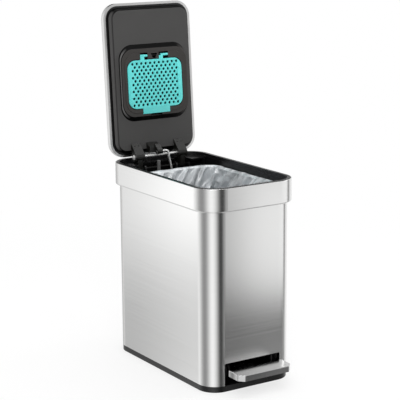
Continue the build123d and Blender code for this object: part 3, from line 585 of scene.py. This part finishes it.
@dataclass
class Studio:
    """The floor, the air, the lamps, the cards and the camera."""

    air: float = 0.55
    floor_size: float = 40.0
    floor_tone: Colour = (0.92, 0.92, 0.92)
    # The floor glows more from the near distance to the far one, in metres
    whitens: Pair = (0.35, 1.3)
    floor_glow: Pair = (0.72, 1.0)
    # The air that gloss mirrors dims overhead, between these parts of the whole height
    climb: Pair = (0.36, 0.60)
    overhead: float = 0.6
    # Azimuths in degrees, and half of the light that gloss mirrors from each
    surround: Stops = (
        (-180, 0.175), (-177, 0.18), (-165, 0.29), (-153, 0.475), (-141, 0.6), (-129, 0.56),
        (-117, 0.425), (-105, 0.21), (-94, 0.03), (-79, 0.03), (-67, 0.2), (-56, 0.4), (-45, 0.5),
        (-21, 0.5), (-13, 0.2), (-8, 0.11), (-3, 0.2), (8, 0.5), (62, 0.5), (82, 0.27), (104, 0.36),
        (118, 0.5), (132, 0.575), (147, 0.4), (159, 0.25), (171, 0.165), (180, 0.175),
    )
    cards: tuple[Card, ...] = (
        Card(
            "left_screen", foot=(-0.0875, 0.0), azimuth=121.0, distance=0.35,
            span=(-0.095, 0.125), height=(-0.16, 0.30),
            upward=(
                (0.0, 0.36), (0.22, 0.36), (0.38, 0.37), (0.51, 0.43), (0.65, 0.52), (0.8, 0.62), (1.0, 0.64),
            ),
            across=((0.0, 0.76), (0.16, 0.80), (0.27, 0.86), (0.48, 1.0), (0.70, 1.15), (1.0, 1.18)),
        ),
        Card(
            "back_screen", foot=(0.0, 0.158), azimuth=54.0, distance=0.45,
            span=(-0.30, 0.30), height=(0.50, 1.10),
            upward=((0.0, 0.02), (1.0, 0.02)),
            across=((0.0, 1.0), (1.0, 1.0)),
        ),
        Card(
            "front_screen", foot=(0.0, -0.1575), azimuth=305.0, distance=0.35,
            span=(-0.11, 0.30), height=(-0.16, 0.30),
            upward=(
                (0.0, 0.12), (0.262, 0.12), (0.295, 0.035), (0.36, 0.04), (0.42, 0.14), (0.48, 0.40),
                (0.53, 0.53), (0.60, 0.54), (1.0, 0.54),
            ),
            across=(
                (0.0, 0.42), (0.11, 0.55), (0.163, 0.66), (0.21, 0.79), (0.255, 0.91), (0.31, 1.0),
                (1.0, 1.05),
            ),
        ),
    )
    lamps: tuple[Lamp, ...] = (
        Lamp("key_lamp", (-1.6, -2.2, 2.6), (1.6, 1.6), 42.0),
        Lamp("top_lamp", (0.3, 0.2, 3.0), (2.4, 2.4), 38.0),
        Lamp("side_lamp", (2.6, -0.6, 1.6), (1.2, 1.8), 18.0),
    )
    lamp_aim: Place = (0.0, 0.0, 0.25)
    view_end: float = 100.0
    # The camera's angles in degrees, its focal length in pixels, and its place in millimetres
    yaw: float = -32.72
    elevation: float = 12.39
    roll: float = -0.41
    focal_px: float = 1412.24
    distance: float = 2473.3
    aim_x: float = -1.98
    aim_z: float = 296.09

    def floor(self) -> None:
        """Lay a pale floor that keeps the can's shadow and turns white away from it."""
        bpy.ops.mesh.primitive_plane_add(size=self.floor_size, location=(0.0, 0.0, 0.0))
        ground = bpy.context.active_object
        ground.name = "studio_floor"
        sheet = NodeSheet("pale_floor")
        sheet.set(Base_Color=(*self.floor_tone, 1.0), Roughness=0.9, Specular_IOR_Level=0.1)
        away = sheet.add("ShaderNodeVectorMath", operation="LENGTH")
        sheet.links.new(sheet.place(Grain.EVEN), away.inputs[0])
        fade = sheet.ranged(away.outputs["Value"], self.whitens, self.floor_glow, "SMOOTHSTEP")
        share = sheet.maths("MULTIPLY", sheet.add("ShaderNodeLightPath").outputs["Is Camera Ray"], fade)
        glow = sheet.add("ShaderNodeEmission")
        glow.inputs["Strength"].default_value = 1.0
        surface = sheet.mixed(share, sheet.shader.outputs["BSDF"], glow.outputs["Emission"])
        sheet.links.new(surface, sheet.output.inputs["Surface"])
        ground.data.materials.append(sheet.material)
        ground.visible_glossy = False

    def world(self) -> None:
        """Surround the can with even white light, and with a soft dark and light round for its gloss."""
        world = bpy.data.worlds.new("studio_air")
        bpy.context.scene.world = world
        tree = NodeTree(world)
        even, white, gloss = (tree.add("ShaderNodeBackground") for _ in range(3))
        for light in (even, white, gloss):
            light.inputs["Color"].default_value = (1.0, 1.0, 1.0, 1.0)
        even.inputs["Strength"].default_value = self.air
        split = tree.add("ShaderNodeSeparateXYZ")
        tree.links.new(tree.add("ShaderNodeTexCoord").outputs["Generated"], split.inputs["Vector"])
        angle = tree.maths("ARCTAN2", split.outputs["Y"], split.outputs["X"])
        turn = tree.ranged(angle, (-math.pi, math.pi), (0.0, 1.0))
        stops = [(0.5 + azimuth / 360.0, light) for azimuth, light in self.surround]
        around = tree.ramp(turn, greys(stops))
        heights = (LIGHT_SCALE, LIGHT_SCALE * self.overhead)
        overhead = tree.ranged(split.outputs["Z"], self.climb, heights, "SMOOTHSTEP")
        tree.links.new(tree.maths("MULTIPLY", around, overhead), gloss.inputs["Strength"])
        rays = tree.add("ShaderNodeLightPath").outputs
        lit = tree.mixed(rays["Is Glossy Ray"], even.outputs["Background"], gloss.outputs["Background"])
        seen = tree.maths("MAXIMUM", rays["Is Camera Ray"], rays["Is Transmission Ray"])
        surface = tree.mixed(seen, lit, white.outputs["Background"])
        tree.links.new(surface, tree.add("ShaderNodeOutputWorld").inputs["Surface"])

    def hang(self, lamp: Lamp) -> None:
        """Hang one lamp so that it faces the can.

        Args:
            lamp: Its name, place, size and power.
        """
        data = bpy.data.lights.new(lamp.name, "AREA")
        data.shape = "RECTANGLE"
        data.size, data.size_y = lamp.size
        data.energy = lamp.power
        light = linked(lamp.name, data)
        light.location = lamp.place
        toward = Vector(self.lamp_aim) - Vector(lamp.place)
        light.rotation_euler = toward.to_track_quat("-Z", "Y").to_euler()

    def screen(self, card: Card) -> None:
        """Stand a graded card out of view, which only the gloss of metal and plastic shows.

        Args:
            card: Its place, size and grading.
        """
        bpy.ops.mesh.primitive_plane_add(size=1.0, location=(0.0, 0.0, 0.0))
        board = bpy.context.active_object
        board.name = card.name
        for vertex, corner in zip((0, 1, 3, 2), card.corners()):
            board.data.vertices[vertex].co = corner
        sheet = NodeSheet(card.name)
        split = sheet.add("ShaderNodeSeparateXYZ")
        sheet.links.new(sheet.add("ShaderNodeTexCoord").outputs["UV"], split.inputs["Vector"])
        upward = sheet.ramp(split.outputs["Y"], greys(card.upward))
        across = sheet.ramp(split.outputs["X"], greys(card.across))
        level = sheet.maths("MULTIPLY", sheet.maths("MULTIPLY", upward, across), LIGHT_SCALE)
        glow = sheet.add("ShaderNodeEmission")
        sheet.links.new(level, glow.inputs["Strength"])
        sheet.links.new(glow.outputs["Emission"], sheet.output.inputs["Surface"])
        board.data.materials.append(sheet.material)
        for ray in ("camera", "diffuse", "transmission", "shadow"):
            setattr(board, f"visible_{ray}", False)

    def camera(self) -> None:
        """Set the camera where the photograph was taken from."""
        yaw, climb, roll = (math.radians(angle) for angle in (self.yaw, self.elevation, self.roll))
        level = math.cos(climb)
        forward = Vector((-math.sin(yaw) * level, math.cos(yaw) * level, -math.sin(climb)))
        right = forward.cross(Vector((0.0, 0.0, 1.0))).normalized()
        up = right.cross(forward)
        across = right * math.cos(roll) + up * math.sin(roll)
        upward = up * math.cos(roll) - right * math.sin(roll)
        place = (right * self.aim_x + Vector((0.0, 0.0, self.aim_z)) - forward * self.distance) * MM
        data = bpy.data.cameras.new("photo_view")
        data.sensor_width = SENSOR
        data.lens = SENSOR * self.focal_px / PHOTO_WIDTH
        data.clip_end = self.view_end
        eye = linked("photo_view", data)
        turn = Matrix((across, upward, -forward)).transposed().to_4x4()
        eye.matrix_world = Matrix.Translation(place) @ turn
        bpy.context.scene.camera = eye

    def build(self) -> None:
        """Set up the whole studio."""
        bpy.context.scene.view_settings.view_transform = "Standard"
        self.floor()
        self.world()
        for lamp in self.lamps:
            self.hang(lamp)
        for card in self.cards:
            self.screen(card)
        self.camera()


def linked(name: str, data: bpy.types.ID) -> Piece:
    """Put a new object in the scene.

    Args:
        name: Its name.
        data: Its mesh, lamp or camera.

    Returns:
        The object.
    """
    piece = bpy.data.objects.new(name, data)
    bpy.context.scene.collection.objects.link(piece)
    return piece


def alone(piece: Piece) -> None:
    """Select one object and nothing else.

    Args:
        piece: The object.
    """
    bpy.ops.object.select_all(action="DESELECT")
    piece.select_set(True)
    bpy.context.view_layer.objects.active = piece


def apply(piece: Piece, modifier: bpy.types.Modifier) -> None:
    """Apply one of an object's modifiers."""
    alone(piece)
    bpy.ops.object.modifier_apply(modifier=modifier.name)


def joined(pieces: Sequence[Piece]) -> Piece:
    """Join objects into the first one, with their places in its mesh.

    Args:
        pieces: Two objects or more.

    Returns:
        The one that is left.
    """
    alone(pieces[0])
    for piece in pieces[1:]:
        piece.select_set(True)
    bpy.ops.object.join()
    bpy.ops.object.transform_apply(location=True, rotation=True, scale=True)
    return bpy.context.active_object


def on_lid() -> Matrix:
    """Work out how the lid stands.

    Returns:
        What takes the lid's frame, across, up it and out of its underside, to the can's.
    """
    out = Vector(LID_OUT)
    across = Vector((1.0, 0.0, 0.0))
    turn = Matrix((across, out.cross(across), out)).transposed().to_4x4()
    return Matrix.Translation(Vector(LID_ORIGIN)) @ turn


def quarter(middle: Pair, radius: float, start: float, steps: int) -> list[Pair]:
    """Points on a quarter of a circle, counter-clockwise from a direction in degrees."""
    turns = [math.radians(start + step * 90 / steps) for step in range(steps + 1)]
    return [(middle[0] + radius * math.cos(turn), middle[1] + radius * math.sin(turn)) for turn in turns]


def flat_piece(name: str, outline: Sequence[Pair], level: float) -> Piece:
    """Start a piece as one flat face, selected in edit mode.

    Args:
        name: The piece's name.
        outline: The points round the face, across and up the lid.
        level: How far out of the lid it lies.

    Returns:
        The piece.
    """
    mesh = bpy.data.meshes.new(name)
    mesh.from_pydata([(across, up, level) for across, up in outline], [], [tuple(range(len(outline)))])
    piece = linked(name, mesh)
    alone(piece)
    bpy.ops.object.mode_set(mode="EDIT")
    bpy.ops.mesh.select_all(action="SELECT")
    return piece


def thicken(thick: float) -> None:
    """Give the faces that are selected in edit mode a thickness, and leave that mode.

    Args:
        thick: The thickness, in metres.
    """
    bpy.ops.mesh.extrude_region_move(TRANSFORM_OT_translate={"value": (0.0, 0.0, thick)})
    bpy.ops.mesh.select_all(action="SELECT")
    bpy.ops.mesh.normals_make_consistent(inside=False)
    bpy.ops.object.mode_set(mode="OBJECT")


def ease(piece: Piece, width: float, angle: float) -> None:
    """Round a piece's edges and shade it smooth where it bends little.

    Args:
        piece: The piece.
        width: How wide the rounding is, in metres.
        angle: The bend from which an edge is rounded, in degrees.
    """
    edges = piece.modifiers.new("soft_edges", "BEVEL")
    edges.width = width
    edges.segments = 2
    edges.limit_method = "ANGLE"
    edges.angle_limit = math.radians(angle)
    apply(piece, edges)
    bpy.ops.object.shade_smooth_by_angle(angle=SMOOTH_BEND)


@dataclass
class Ties:
    """Threads of film that hold pairs of points at their lengths."""

    first: np.ndarray
    second: np.ndarray
    rest: np.ndarray
    strength: float

    def pull(self, points: np.ndarray, free: np.ndarray) -> None:
        """Bring every pair nearer to its length.

        Args:
            points: The film's points, which move.
            free: 1 for each point that may move and 0 for each that is held.
        """
        gap = points[self.second] - points[self.first]
        length = np.maximum(np.linalg.norm(gap, axis=1), TINY)
        loose_a, loose_b = free[self.first], free[self.second]
        share = self.strength * (1.0 - self.rest / length) / np.maximum(loose_a + loose_b, 1.0)
        points[self.first] += gap * (share * loose_a)[:, None]
        points[self.second] -= gap * (share * loose_b)[:, None]


@dataclass(frozen=True)
class Pleats:
    """One set of pleats, which stand off the bucket's wall along winding lines."""

    scale: float
    narrow: float
    height: float
    shift: Place

    def rise(self, drawn: Vector) -> float:
        """How high the pleats stand, in metres, at a place that is shortened along them."""
        wave = noise.noise(drawn * self.scale + Vector(self.shift))
        return self.height * max(0.0, 1.0 - self.narrow * abs(wave))


@dataclass
class LinerBag:
    """The thin bag that hangs crumpled in the bucket, with its mouth laid over the bucket's flange."""

    film: Finish
    # The bucket: half its mouth, its corners, its lip and floor, and how its wall leans in
    mouth: Pair = (0.0857, 0.1241)
    corner: float = 0.0317
    middle: float = -0.0316
    lip: float = 0.3370
    floor: float = 0.0648
    draft: float = math.tan(math.radians(1.2))
    wall_inset: float = 0.0056
    clear: float = 0.0006
    # The film over the lip, as inset and rise, and where its rows begin and end below
    hem: tuple[Pair, ...] = ((0.0, -0.0006), (0.0016, 0.0006), (0.0034, 0.0004))
    wall_start: float = 0.0022
    wall_end: float = 0.006
    held_rows: int = 4
    step: float = 0.0026
    coarser: float = 9.0
    # Slack across the pleats and down the film, and how much of the depth their noise runs through
    fuller: float = 0.40
    longer: float = 0.02
    drawn: float = 0.2
    broad: Pleats = Pleats(22.0, 2.8, 0.013, (0.0, 0.0, 0.0))
    sharp: Pleats = Pleats(46.0, 3.0, 0.012, (4.0, 9.0, 2.0))
    gathered: Pair = (0.078, 0.055)
    gather_reach: float = 0.07
    # The patches in which the pleats stand more or less, and how much the broad ones keep in all
    patch_scale: float = 12.0
    patch_contrast: float = 3.0
    patch_middle: float = 0.3
    kept: float = 0.35
    firm: float = 0.002
    settle: float = 0.008
    lip_depth: float = 0.001
    lip_ripple: float = 0.0010
    lip_scale: float = 55.0
    lip_shift: float = 3.0
    # How hard the film holds its lengths along its threads, aslant and across bends
    threads: float = 0.9
    aslant: float = 0.5
    bends: float = 0.03
    steps: int = 30
    turns: int = 3
    carry: float = 0.92
    sag: float = 0.000012
    floor_rings: tuple[float, ...] = (0.97, 0.84, 0.70, 0.56, 0.42, 0.28, 0.14)
    floor_heave: float = 0.004
    floor_scale: float = 45.0
    floor_fall: float = 0.01
    flat: Pair = (0.90, 0.42)

    def outline(self) -> Ring:
        """Set out points round the bag's mouth at equal steps.

        Returns:
            The points, each with its outward direction.
        """
        half_x, half_y = self.mouth
        flat_x, flat_y = half_x - self.corner, half_y - self.corner
        arc = self.corner * math.pi / 2
        lengths = (2 * flat_y, arc, 2 * flat_x, arc) * 2
        around = sum(lengths)
        count = 4 * round(around / self.step / 4)
        points = []
        for index in range(count):
            rest = around * index / count
            leg = 0
            while rest > lengths[leg]:
                rest -= lengths[leg]
                leg += 1
            long_first = leg % 4 < 2
            reach = flat_y if long_first else flat_x
            if leg % 2 == 0:
                normal = Vector((1.0, 0.0))
                local = Vector((half_x if long_first else half_y, rest - reach))
            else:
                bend = rest / self.corner
                normal = Vector((math.cos(bend), math.sin(bend)))
                local = Vector((flat_x if long_first else flat_y, reach)) + normal * self.corner
            spin = Matrix.Rotation((leg // 2) * math.pi / 2, 2)
            points.append((spin @ local, spin @ normal))
        return points

    def profile(self) -> Rows:
        """Set out the bag's section from its mouth to the foot of its wall.

        Returns:
            The section's rows, each as its inset and height.
        """
        rows = [(inset, self.lip + rise) for inset, rise in self.hem]
        height = self.lip - self.wall_start
        while height > self.floor + self.wall_end:
            rows.append((self.wall_inset + (self.lip - height) * self.draft, height))
            height -= self.step * (1.0 + self.coarser * (self.lip - height))
        return rows

    def fold(self, drawn: Vector, spot: Vector) -> float:
        """How far the film stands off the wall at one point, from long folds that fall aslant.

        Args:
            drawn: The point's place along the folds, which run round the wall as they fall.
            spot: Its place in the bucket.

        Returns:
            The distance, in metres.
        """
        away = (spot.xy - Vector(self.gathered)).length / self.gather_reach
        wave = self.patch_contrast * noise.noise(spot * self.patch_scale)
        patch = self.patch_middle + self.patch_middle * max(-1.0, min(1.0, wave))
        patch = max(patch, math.exp(-away * away))
        broad = self.broad.rise(drawn) * (self.kept + (1.0 - self.kept) * patch)
        return broad + self.sharp.rise(drawn) * patch

    def hung(self, ring: Ring, rows: Rows) -> np.ndarray:
        """The film as it is first let down, in slanting pleats.

        Args:
            ring: The points round the mouth.
            rows: The section.

        Returns:
            The points, row by row.
        """
        points = []
        count = len(ring)
        step = (ring[1][0] - ring[0][0]).length
        for inset, height in rows:
            deep = max(0.0, self.lip - height)
            for index, (spot, normal) in enumerate(ring):
                start, part = divmod((index - deep / step) % count, 1.0)
                mouth = ring[int(start) % count][0].lerp(ring[(int(start) + 1) % count][0], part)
                drawn = Vector((mouth.x, mouth.y, -self.drawn * deep))
                place = spot - normal * inset
                off = self.fold(drawn, Vector((place.x, place.y, -deep)))
                place = place - normal * (off * min(1.0, deep / self.settle))
                spread = place.xy * self.lip_scale
                ripple = noise.noise(Vector((*spread, self.lip_shift)))
                lift = ripple * self.lip_ripple if deep < self.lip_depth else 0.0
                points.append((place.x, place.y, height + lift))
        return np.array(points)

    def ties(self, count: int, rows: Rows, ring_step: float) -> list[Ties]:
        """Tie the film's points along, down, aslant and across each bend, with slack across the pleats.

        Args:
            count: How many points are in a row.
            rows: The section.
            ring_step: The distance between neighbours along a row.

        Returns:
            The ties, in groups in which no point comes twice.
        """
        index = np.arange(len(rows) * count).reshape(len(rows), count)
        row, column = np.divmod(index, count)
        deep = np.array([max(0.0, self.lip - height) for _, height in rows])
        slack = np.clip((deep - self.firm) / self.settle, 0.0, 1.0)[:, None]
        drop = np.array([math.dist(a, b) for a, b in zip(rows, rows[1:] + rows[-1:])])[:, None]
        fuller = np.broadcast_to(1.0 + self.fuller * slack, index.shape)
        down = np.broadcast_to(drop * (1.0 + self.longer * slack), index.shape)
        groups = []
        for lower, along, strength in (
            (0, 1, self.threads), (1, 0, self.threads), (1, 1, self.aslant), (1, -1, self.aslant),
            (0, 2, self.bends), (2, 0, self.bends),
        ):
            last = len(rows) - lower
            first = index[:last]
            second = np.roll(index, -along, axis=1)[lower:]
            tall = sum((down[step: last + step] for step in range(lower)), np.zeros((last, count)))
            over = (along * ring_step - tall) / math.sqrt(2.0) * fuller[:last]
            rest = np.hypot(over, (along * ring_step + tall) / math.sqrt(2.0))
            order = (row // lower if lower else column // along)[:last] % 2
            for half in (0, 1):
                chosen = order == half
                groups.append(Ties(first[chosen], second[chosen], rest[chosen], strength))
        return groups

    def keep_in(self, points: np.ndarray) -> None:
        """Push the film back inside the bucket.

        Args:
            points: The film's points, which move.
        """
        inset = self.wall_inset - self.clear + np.maximum(self.lip - points[:, 2], 0.0) * self.draft
        reach = np.array(self.mouth) - self.corner
        past = np.maximum(np.abs(points[:, :2]) - reach, 0.0)
        length = np.maximum(np.linalg.norm(past, axis=1), TINY)
        over = np.maximum(length - (self.corner - inset), 0.0)
        points[:, :2] -= past / length[:, None] * over[:, None] * np.sign(points[:, :2])
        points[:, 2] = np.maximum(points[:, 2], self.floor)

    def crumple(self, points: np.ndarray, groups: list[Ties], count: int) -> np.ndarray:
        """Let the film, which is fuller than the bucket, settle inside it.

        Args:
            points: The film as it is first let down.
            groups: Its ties.
            count: How many points are in a row.

        Returns:
            The settled points.
        """
        held = self.held_rows * count
        free = np.ones(len(points))
        free[:held] = 0.0
        free[-count:] = 0.0
        before = points.copy()
        for _ in range(self.steps):
            drift = (points - before) * self.carry
            before = points.copy()
            points = points + drift * free[:, None]
            points[:, 2] -= self.sag * free
            for _ in range(self.turns):
                for ties in groups:
                    ties.pull(points, free)
                top = points[:held].copy()
                self.keep_in(points)
                points[:held] = top
        return points

    def bottom(self, foot: Sequence[Place]) -> list[Place]:
        """Rings of points that close the film on the bucket's floor.

        Args:
            foot: The lowest row of the wall.

        Returns:
            The points, ring by ring towards the middle.
        """
        centre = Vector((0.0, self.middle, self.floor))
        points = []
        for share in self.floor_rings:
            for spot in foot:
                place = centre.lerp(Vector(spot), share)
                height = self.floor_heave * (1.0 - abs(2.0 * share - 1.0))
                heave = abs(noise.noise(place * self.floor_scale) * height)
                points.append((place.x, place.y, self.floor + self.clear + heave))
        return points

    def faces(self, bands: int, count: int) -> list[tuple[int, ...]]:
        """The faces between the rows, and those that close the last one.

        Args:
            bands: How many bands lie between the rows.
            count: How many points are in a row.

        Returns:
            The faces.
        """
        faces = []
        for high in range(0, bands * count, count):
            low = high + count
            for index in range(count):
                after = (index + 1) % count
                faces.append((high + index, low + index, low + after, high + after))
        first, last = bands * count, bands * count + count - 1
        for step in range(count // 2 - 1):
            faces.append((first + step, last - step, last - step - 1, first + step + 1))
        return faces

    def lay_flat(self, mesh: Mesh, rows: Rows, count: int, step: float) -> None:
        """Give the film its own flat coordinates, across and along its slanting folds.

        Args:
            mesh: The film's mesh.
            rows: The section.
            count: How many points are in a row.
            step: The distance between neighbours along a row.
        """
        deep = [self.lip - height for _, height in rows]
        deep += [deep[-1] + self.floor_fall * ring for ring in range(1, len(self.floor_rings) + 1)]
        layer = mesh.uv_layers.new(name="aslant")
        for face in mesh.polygons:
            columns = [mesh.loops[loop].vertex_index % count for loop in face.loop_indices]
            wraps = max(columns) - min(columns) == count - 1
            for loop, column in zip(face.loop_indices, columns):
                round_by = (column + (count if wraps and column == 0 else 0)) * step
                below = deep[mesh.loops[loop].vertex_index // count]
                layer.data[loop].uv = (round_by - below, self.drawn * (round_by + below))

    def build(self) -> Piece:
        """Make the bag.

        Returns:
            The finished piece.
        """
        ring, rows = self.outline(), self.profile()
        count = len(ring)
        step = (ring[1][0] - ring[0][0]).length
        points = self.hung(ring, rows)
        points = self.crumple(points, self.ties(count, rows, step), count)
        spots = [(x, y + self.middle, z) for x, y, z in points]
        spots += self.bottom(spots[-count:])
        mesh = bpy.data.meshes.new("liner_bag_film")
        mesh.from_pydata(spots, [], self.faces(len(rows) - 1 + len(self.floor_rings), count))
        self.lay_flat(mesh, rows, count, step)
        bag = linked("liner_bag_film", mesh)
        finer = bag.modifiers.new("finer", "SUBSURF")
        finer.levels = finer.render_levels = 1
        apply(bag, finer)
        bpy.ops.object.shade_smooth_by_angle(angle=math.pi)
        bag.data.materials.append(self.film)
        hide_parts("liner_bag")
        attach(bag, "root")
        return bag


@dataclass
class FilterCover:
    """The perforated plate over the filter, with soft edges and round holes, on the lid's underside."""

    material: Finish
    width: float = 0.1130
    height: float = 0.0869
    middle: float = 0.1302
    corner: float = 0.016
    corner_steps: int = 8
    sheet: float = 0.0022
    face: float = 0.0182
    hinge: Pair = (0.181, 0.0159)
    hinge_gap: float = 0.001
    hole: float = 0.0025
    hole_sides: int = 14
    pin_length: float = 0.01
    pitch: Pair = (0.0092, 0.0124)
    fields: tuple[tuple[int, int], ...] = ((11, 7), (10, 6))
    lugs: tuple[Pair, ...] = ((-0.029, -0.014), (0.014, 0.029))
    stems: tuple[Pair, ...] = ((-0.029, -0.021), (0.010, 0.018))
    lug_sides: int = 24
    latch: Pair = (0.056, 0.0765)
    edge_round: float = 0.00035

    def edge(self) -> list[Pair]:
        """Draw round the plate with its latch tab and its two stems.

        Returns:
            The outline's points, counter-clockwise.
        """
        half, low, high = self.width / 2, self.middle - self.height / 2, self.middle + self.height / 2
        tab, tab_foot = self.latch
        top = self.hinge[0] - self.hinge_gap
        inner, bottom_v, top_v = half - self.corner, low + self.corner, high - self.corner
        points = [(-tab / 2, low), (-tab / 2, tab_foot), (tab / 2, tab_foot), (tab / 2, low)]
        points += quarter((inner, bottom_v), self.corner, -90, self.corner_steps)
        points += quarter((inner, top_v), self.corner, 0, self.corner_steps)
        for near, far in reversed(self.stems):
            points += [(far, high), (far, top), (near, top), (near, high)]
        points += quarter((-inner, top_v), self.corner, 90, self.corner_steps)
        points += quarter((-inner, bottom_v), self.corner, 180, self.corner_steps)
        return points

    def holes(self) -> Piece:
        """Set up round pins in staggered rows, which cut the holes.

        Returns:
            The pins, as one object.
        """
        bpy.ops.mesh.primitive_cylinder_add(
            vertices=self.hole_sides, radius=self.hole, depth=self.pin_length, location=(0.0, 0.0, 0.0),
        )
        pin = bpy.context.active_object
        pins = []
        across, up = self.pitch
        for columns, rows in self.fields:
            for column in range(columns):
                for row in range(rows):
                    copy = linked("hole_pin", pin.data.copy())
                    copy.location = (
                        (column - (columns - 1) / 2) * across,
                        self.middle + (row - (rows - 1) / 2) * up,
                        self.face,
                    )
                    pins.append(copy)
        bpy.data.objects.remove(pin, do_unlink=True)
        return joined(pins)

    def barrels(self) -> list[Piece]:
        """Make the two round lugs that turn on the cover's pin.

        Returns:
            The lugs.
        """
        hinge_v, hinge_h = self.hinge
        barrels = []
        for low, high in self.lugs:
            bpy.ops.mesh.primitive_cylinder_add(
                vertices=self.lug_sides,
                radius=self.face - hinge_h,
                depth=high - low,
                location=((low + high) / 2, hinge_v, hinge_h),
                rotation=(0.0, math.pi / 2, 0.0),
            )
            barrels.append(bpy.context.active_object)
        return barrels

    def build(self) -> Piece:
        """Make the cover.

        Returns:
            The finished piece.
        """
        plate = flat_piece("filter_cover_plate", self.edge(), self.face - self.sheet)
        thicken(self.sheet)
        pins = self.holes()
        cut = plate.modifiers.new("holes", "BOOLEAN")
        cut.operation = "DIFFERENCE"
        cut.solver = "EXACT"
        cut.object = pins
        apply(plate, cut)
        bpy.data.objects.remove(pins, do_unlink=True)
        cover = joined([plate, *self.barrels()])
        cover.data.transform(on_lid())
        ease(cover, self.edge_round, angle=50.0)
        cover.data.materials.append(self.material)
        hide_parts("filter_cover")
        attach(cover, "filter_cover")
        return cover


@dataclass
class LinerFlange:
    """The thin black edge of the lid's lining, which lies on the steel hem."""

    material: Finish
    size: Pair = (0.1800, 0.2760)
    corner: float = 0.028
    corner_steps: int = 12
    inset: float = 0.0044
    wide: float = 0.0042
    thick: float = 0.00016
    level: float = 0.00004
    edge_round: float = 0.00004

    def build(self) -> Piece:
        """Make the flange.

        Returns:
            The finished piece.
        """
        bend = self.corner - self.inset
        reach_x, reach_v = self.size[0] / 2 - self.corner, self.size[1] / 2 - self.corner
        outline = []
        for x, v, start in ((1, -1, -90), (1, 1, 0), (-1, 1, 90), (-1, -1, 180)):
            outline += quarter((x * reach_x, self.size[1] / 2 + v * reach_v), bend, start, self.corner_steps)
        flange = flat_piece("liner_flange", outline, self.level)
        bpy.ops.mesh.inset(thickness=self.wide)
        bpy.ops.mesh.delete(type="FACE")
        bpy.ops.mesh.select_all(action="SELECT")
        thicken(self.thick)
        flange.data.transform(on_lid())
        ease(flange, self.edge_round, angle=30.0)
        flange.data.materials.append(self.material)
        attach(flange, "lid")
        return flange


@dataclass
class CadNodes:
    """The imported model's own nodes, each with its finish."""

    finishes: Finishes

    def dress(self) -> None:
        """Assign a finish to every node."""
        f = self.finishes
        plan: dict[str, Finish] = {
            "outer_shell": f.shell, "collar_band": f.shell, "rim_frame": f.black, "base_tray": f.black,
            "base_pads": f.rubber, "floor_deck": f.black, "deck_screws": f.oxide, "inner_bucket": f.bucket,
            "liner_bag": f.film, "hinge_housing": f.black, "housing_screws": f.oxide, "hinge_axle": f.oxide,
            "axle_clips": f.oxide, "damper_cylinder": f.black, "damper_plunger": f.plunger,
            "pedal_pin": f.oxide, "pin_clips": f.oxide, "pedal_bumper": f.rubber, "lid_cover": f.lid,
            "lid_liner": f.panel, "hinge_arm_left": f.arm, "hinge_arm_right": f.arm,
            "hook_block": f.arm, "cross_rod": f.rod, "arm_screws": f.oxide, "filter_housing": f.housing,
            "carbon_filter": f.felt, "cover_pin": f.oxide, "filter_cover": f.cover, "lift_rod": f.rod,
            "pedal_lever": f.tread, "pad_core": f.black, "pedal_pad": f.tread, "pad_screws": f.oxide,
        }
        for name, material in plan.items():
            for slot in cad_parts[name].material_slots:
                slot.material = material
            LOG.info("dressed %s", name)


def main() -> None:
    """Build the studio and the can, one sub-assembly after another."""
    logging.basicConfig(level=logging.INFO, format="%(relativeCreated)d %(name)s %(message)s")
    Studio().build()
    finishes = Finishes()
    CadNodes(finishes).dress()
    for piece in (LinerBag(finishes.film), FilterCover(finishes.cover), LinerFlange(finishes.black)):
        LOG.info("built %s", piece.build().name)


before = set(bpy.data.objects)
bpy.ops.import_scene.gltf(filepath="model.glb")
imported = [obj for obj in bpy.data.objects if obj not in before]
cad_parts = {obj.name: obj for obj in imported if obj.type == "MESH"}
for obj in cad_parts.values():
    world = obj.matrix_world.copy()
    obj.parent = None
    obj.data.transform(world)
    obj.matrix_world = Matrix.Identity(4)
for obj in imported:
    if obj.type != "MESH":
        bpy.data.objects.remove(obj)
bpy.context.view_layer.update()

if __name__ == "__main__":
    main()
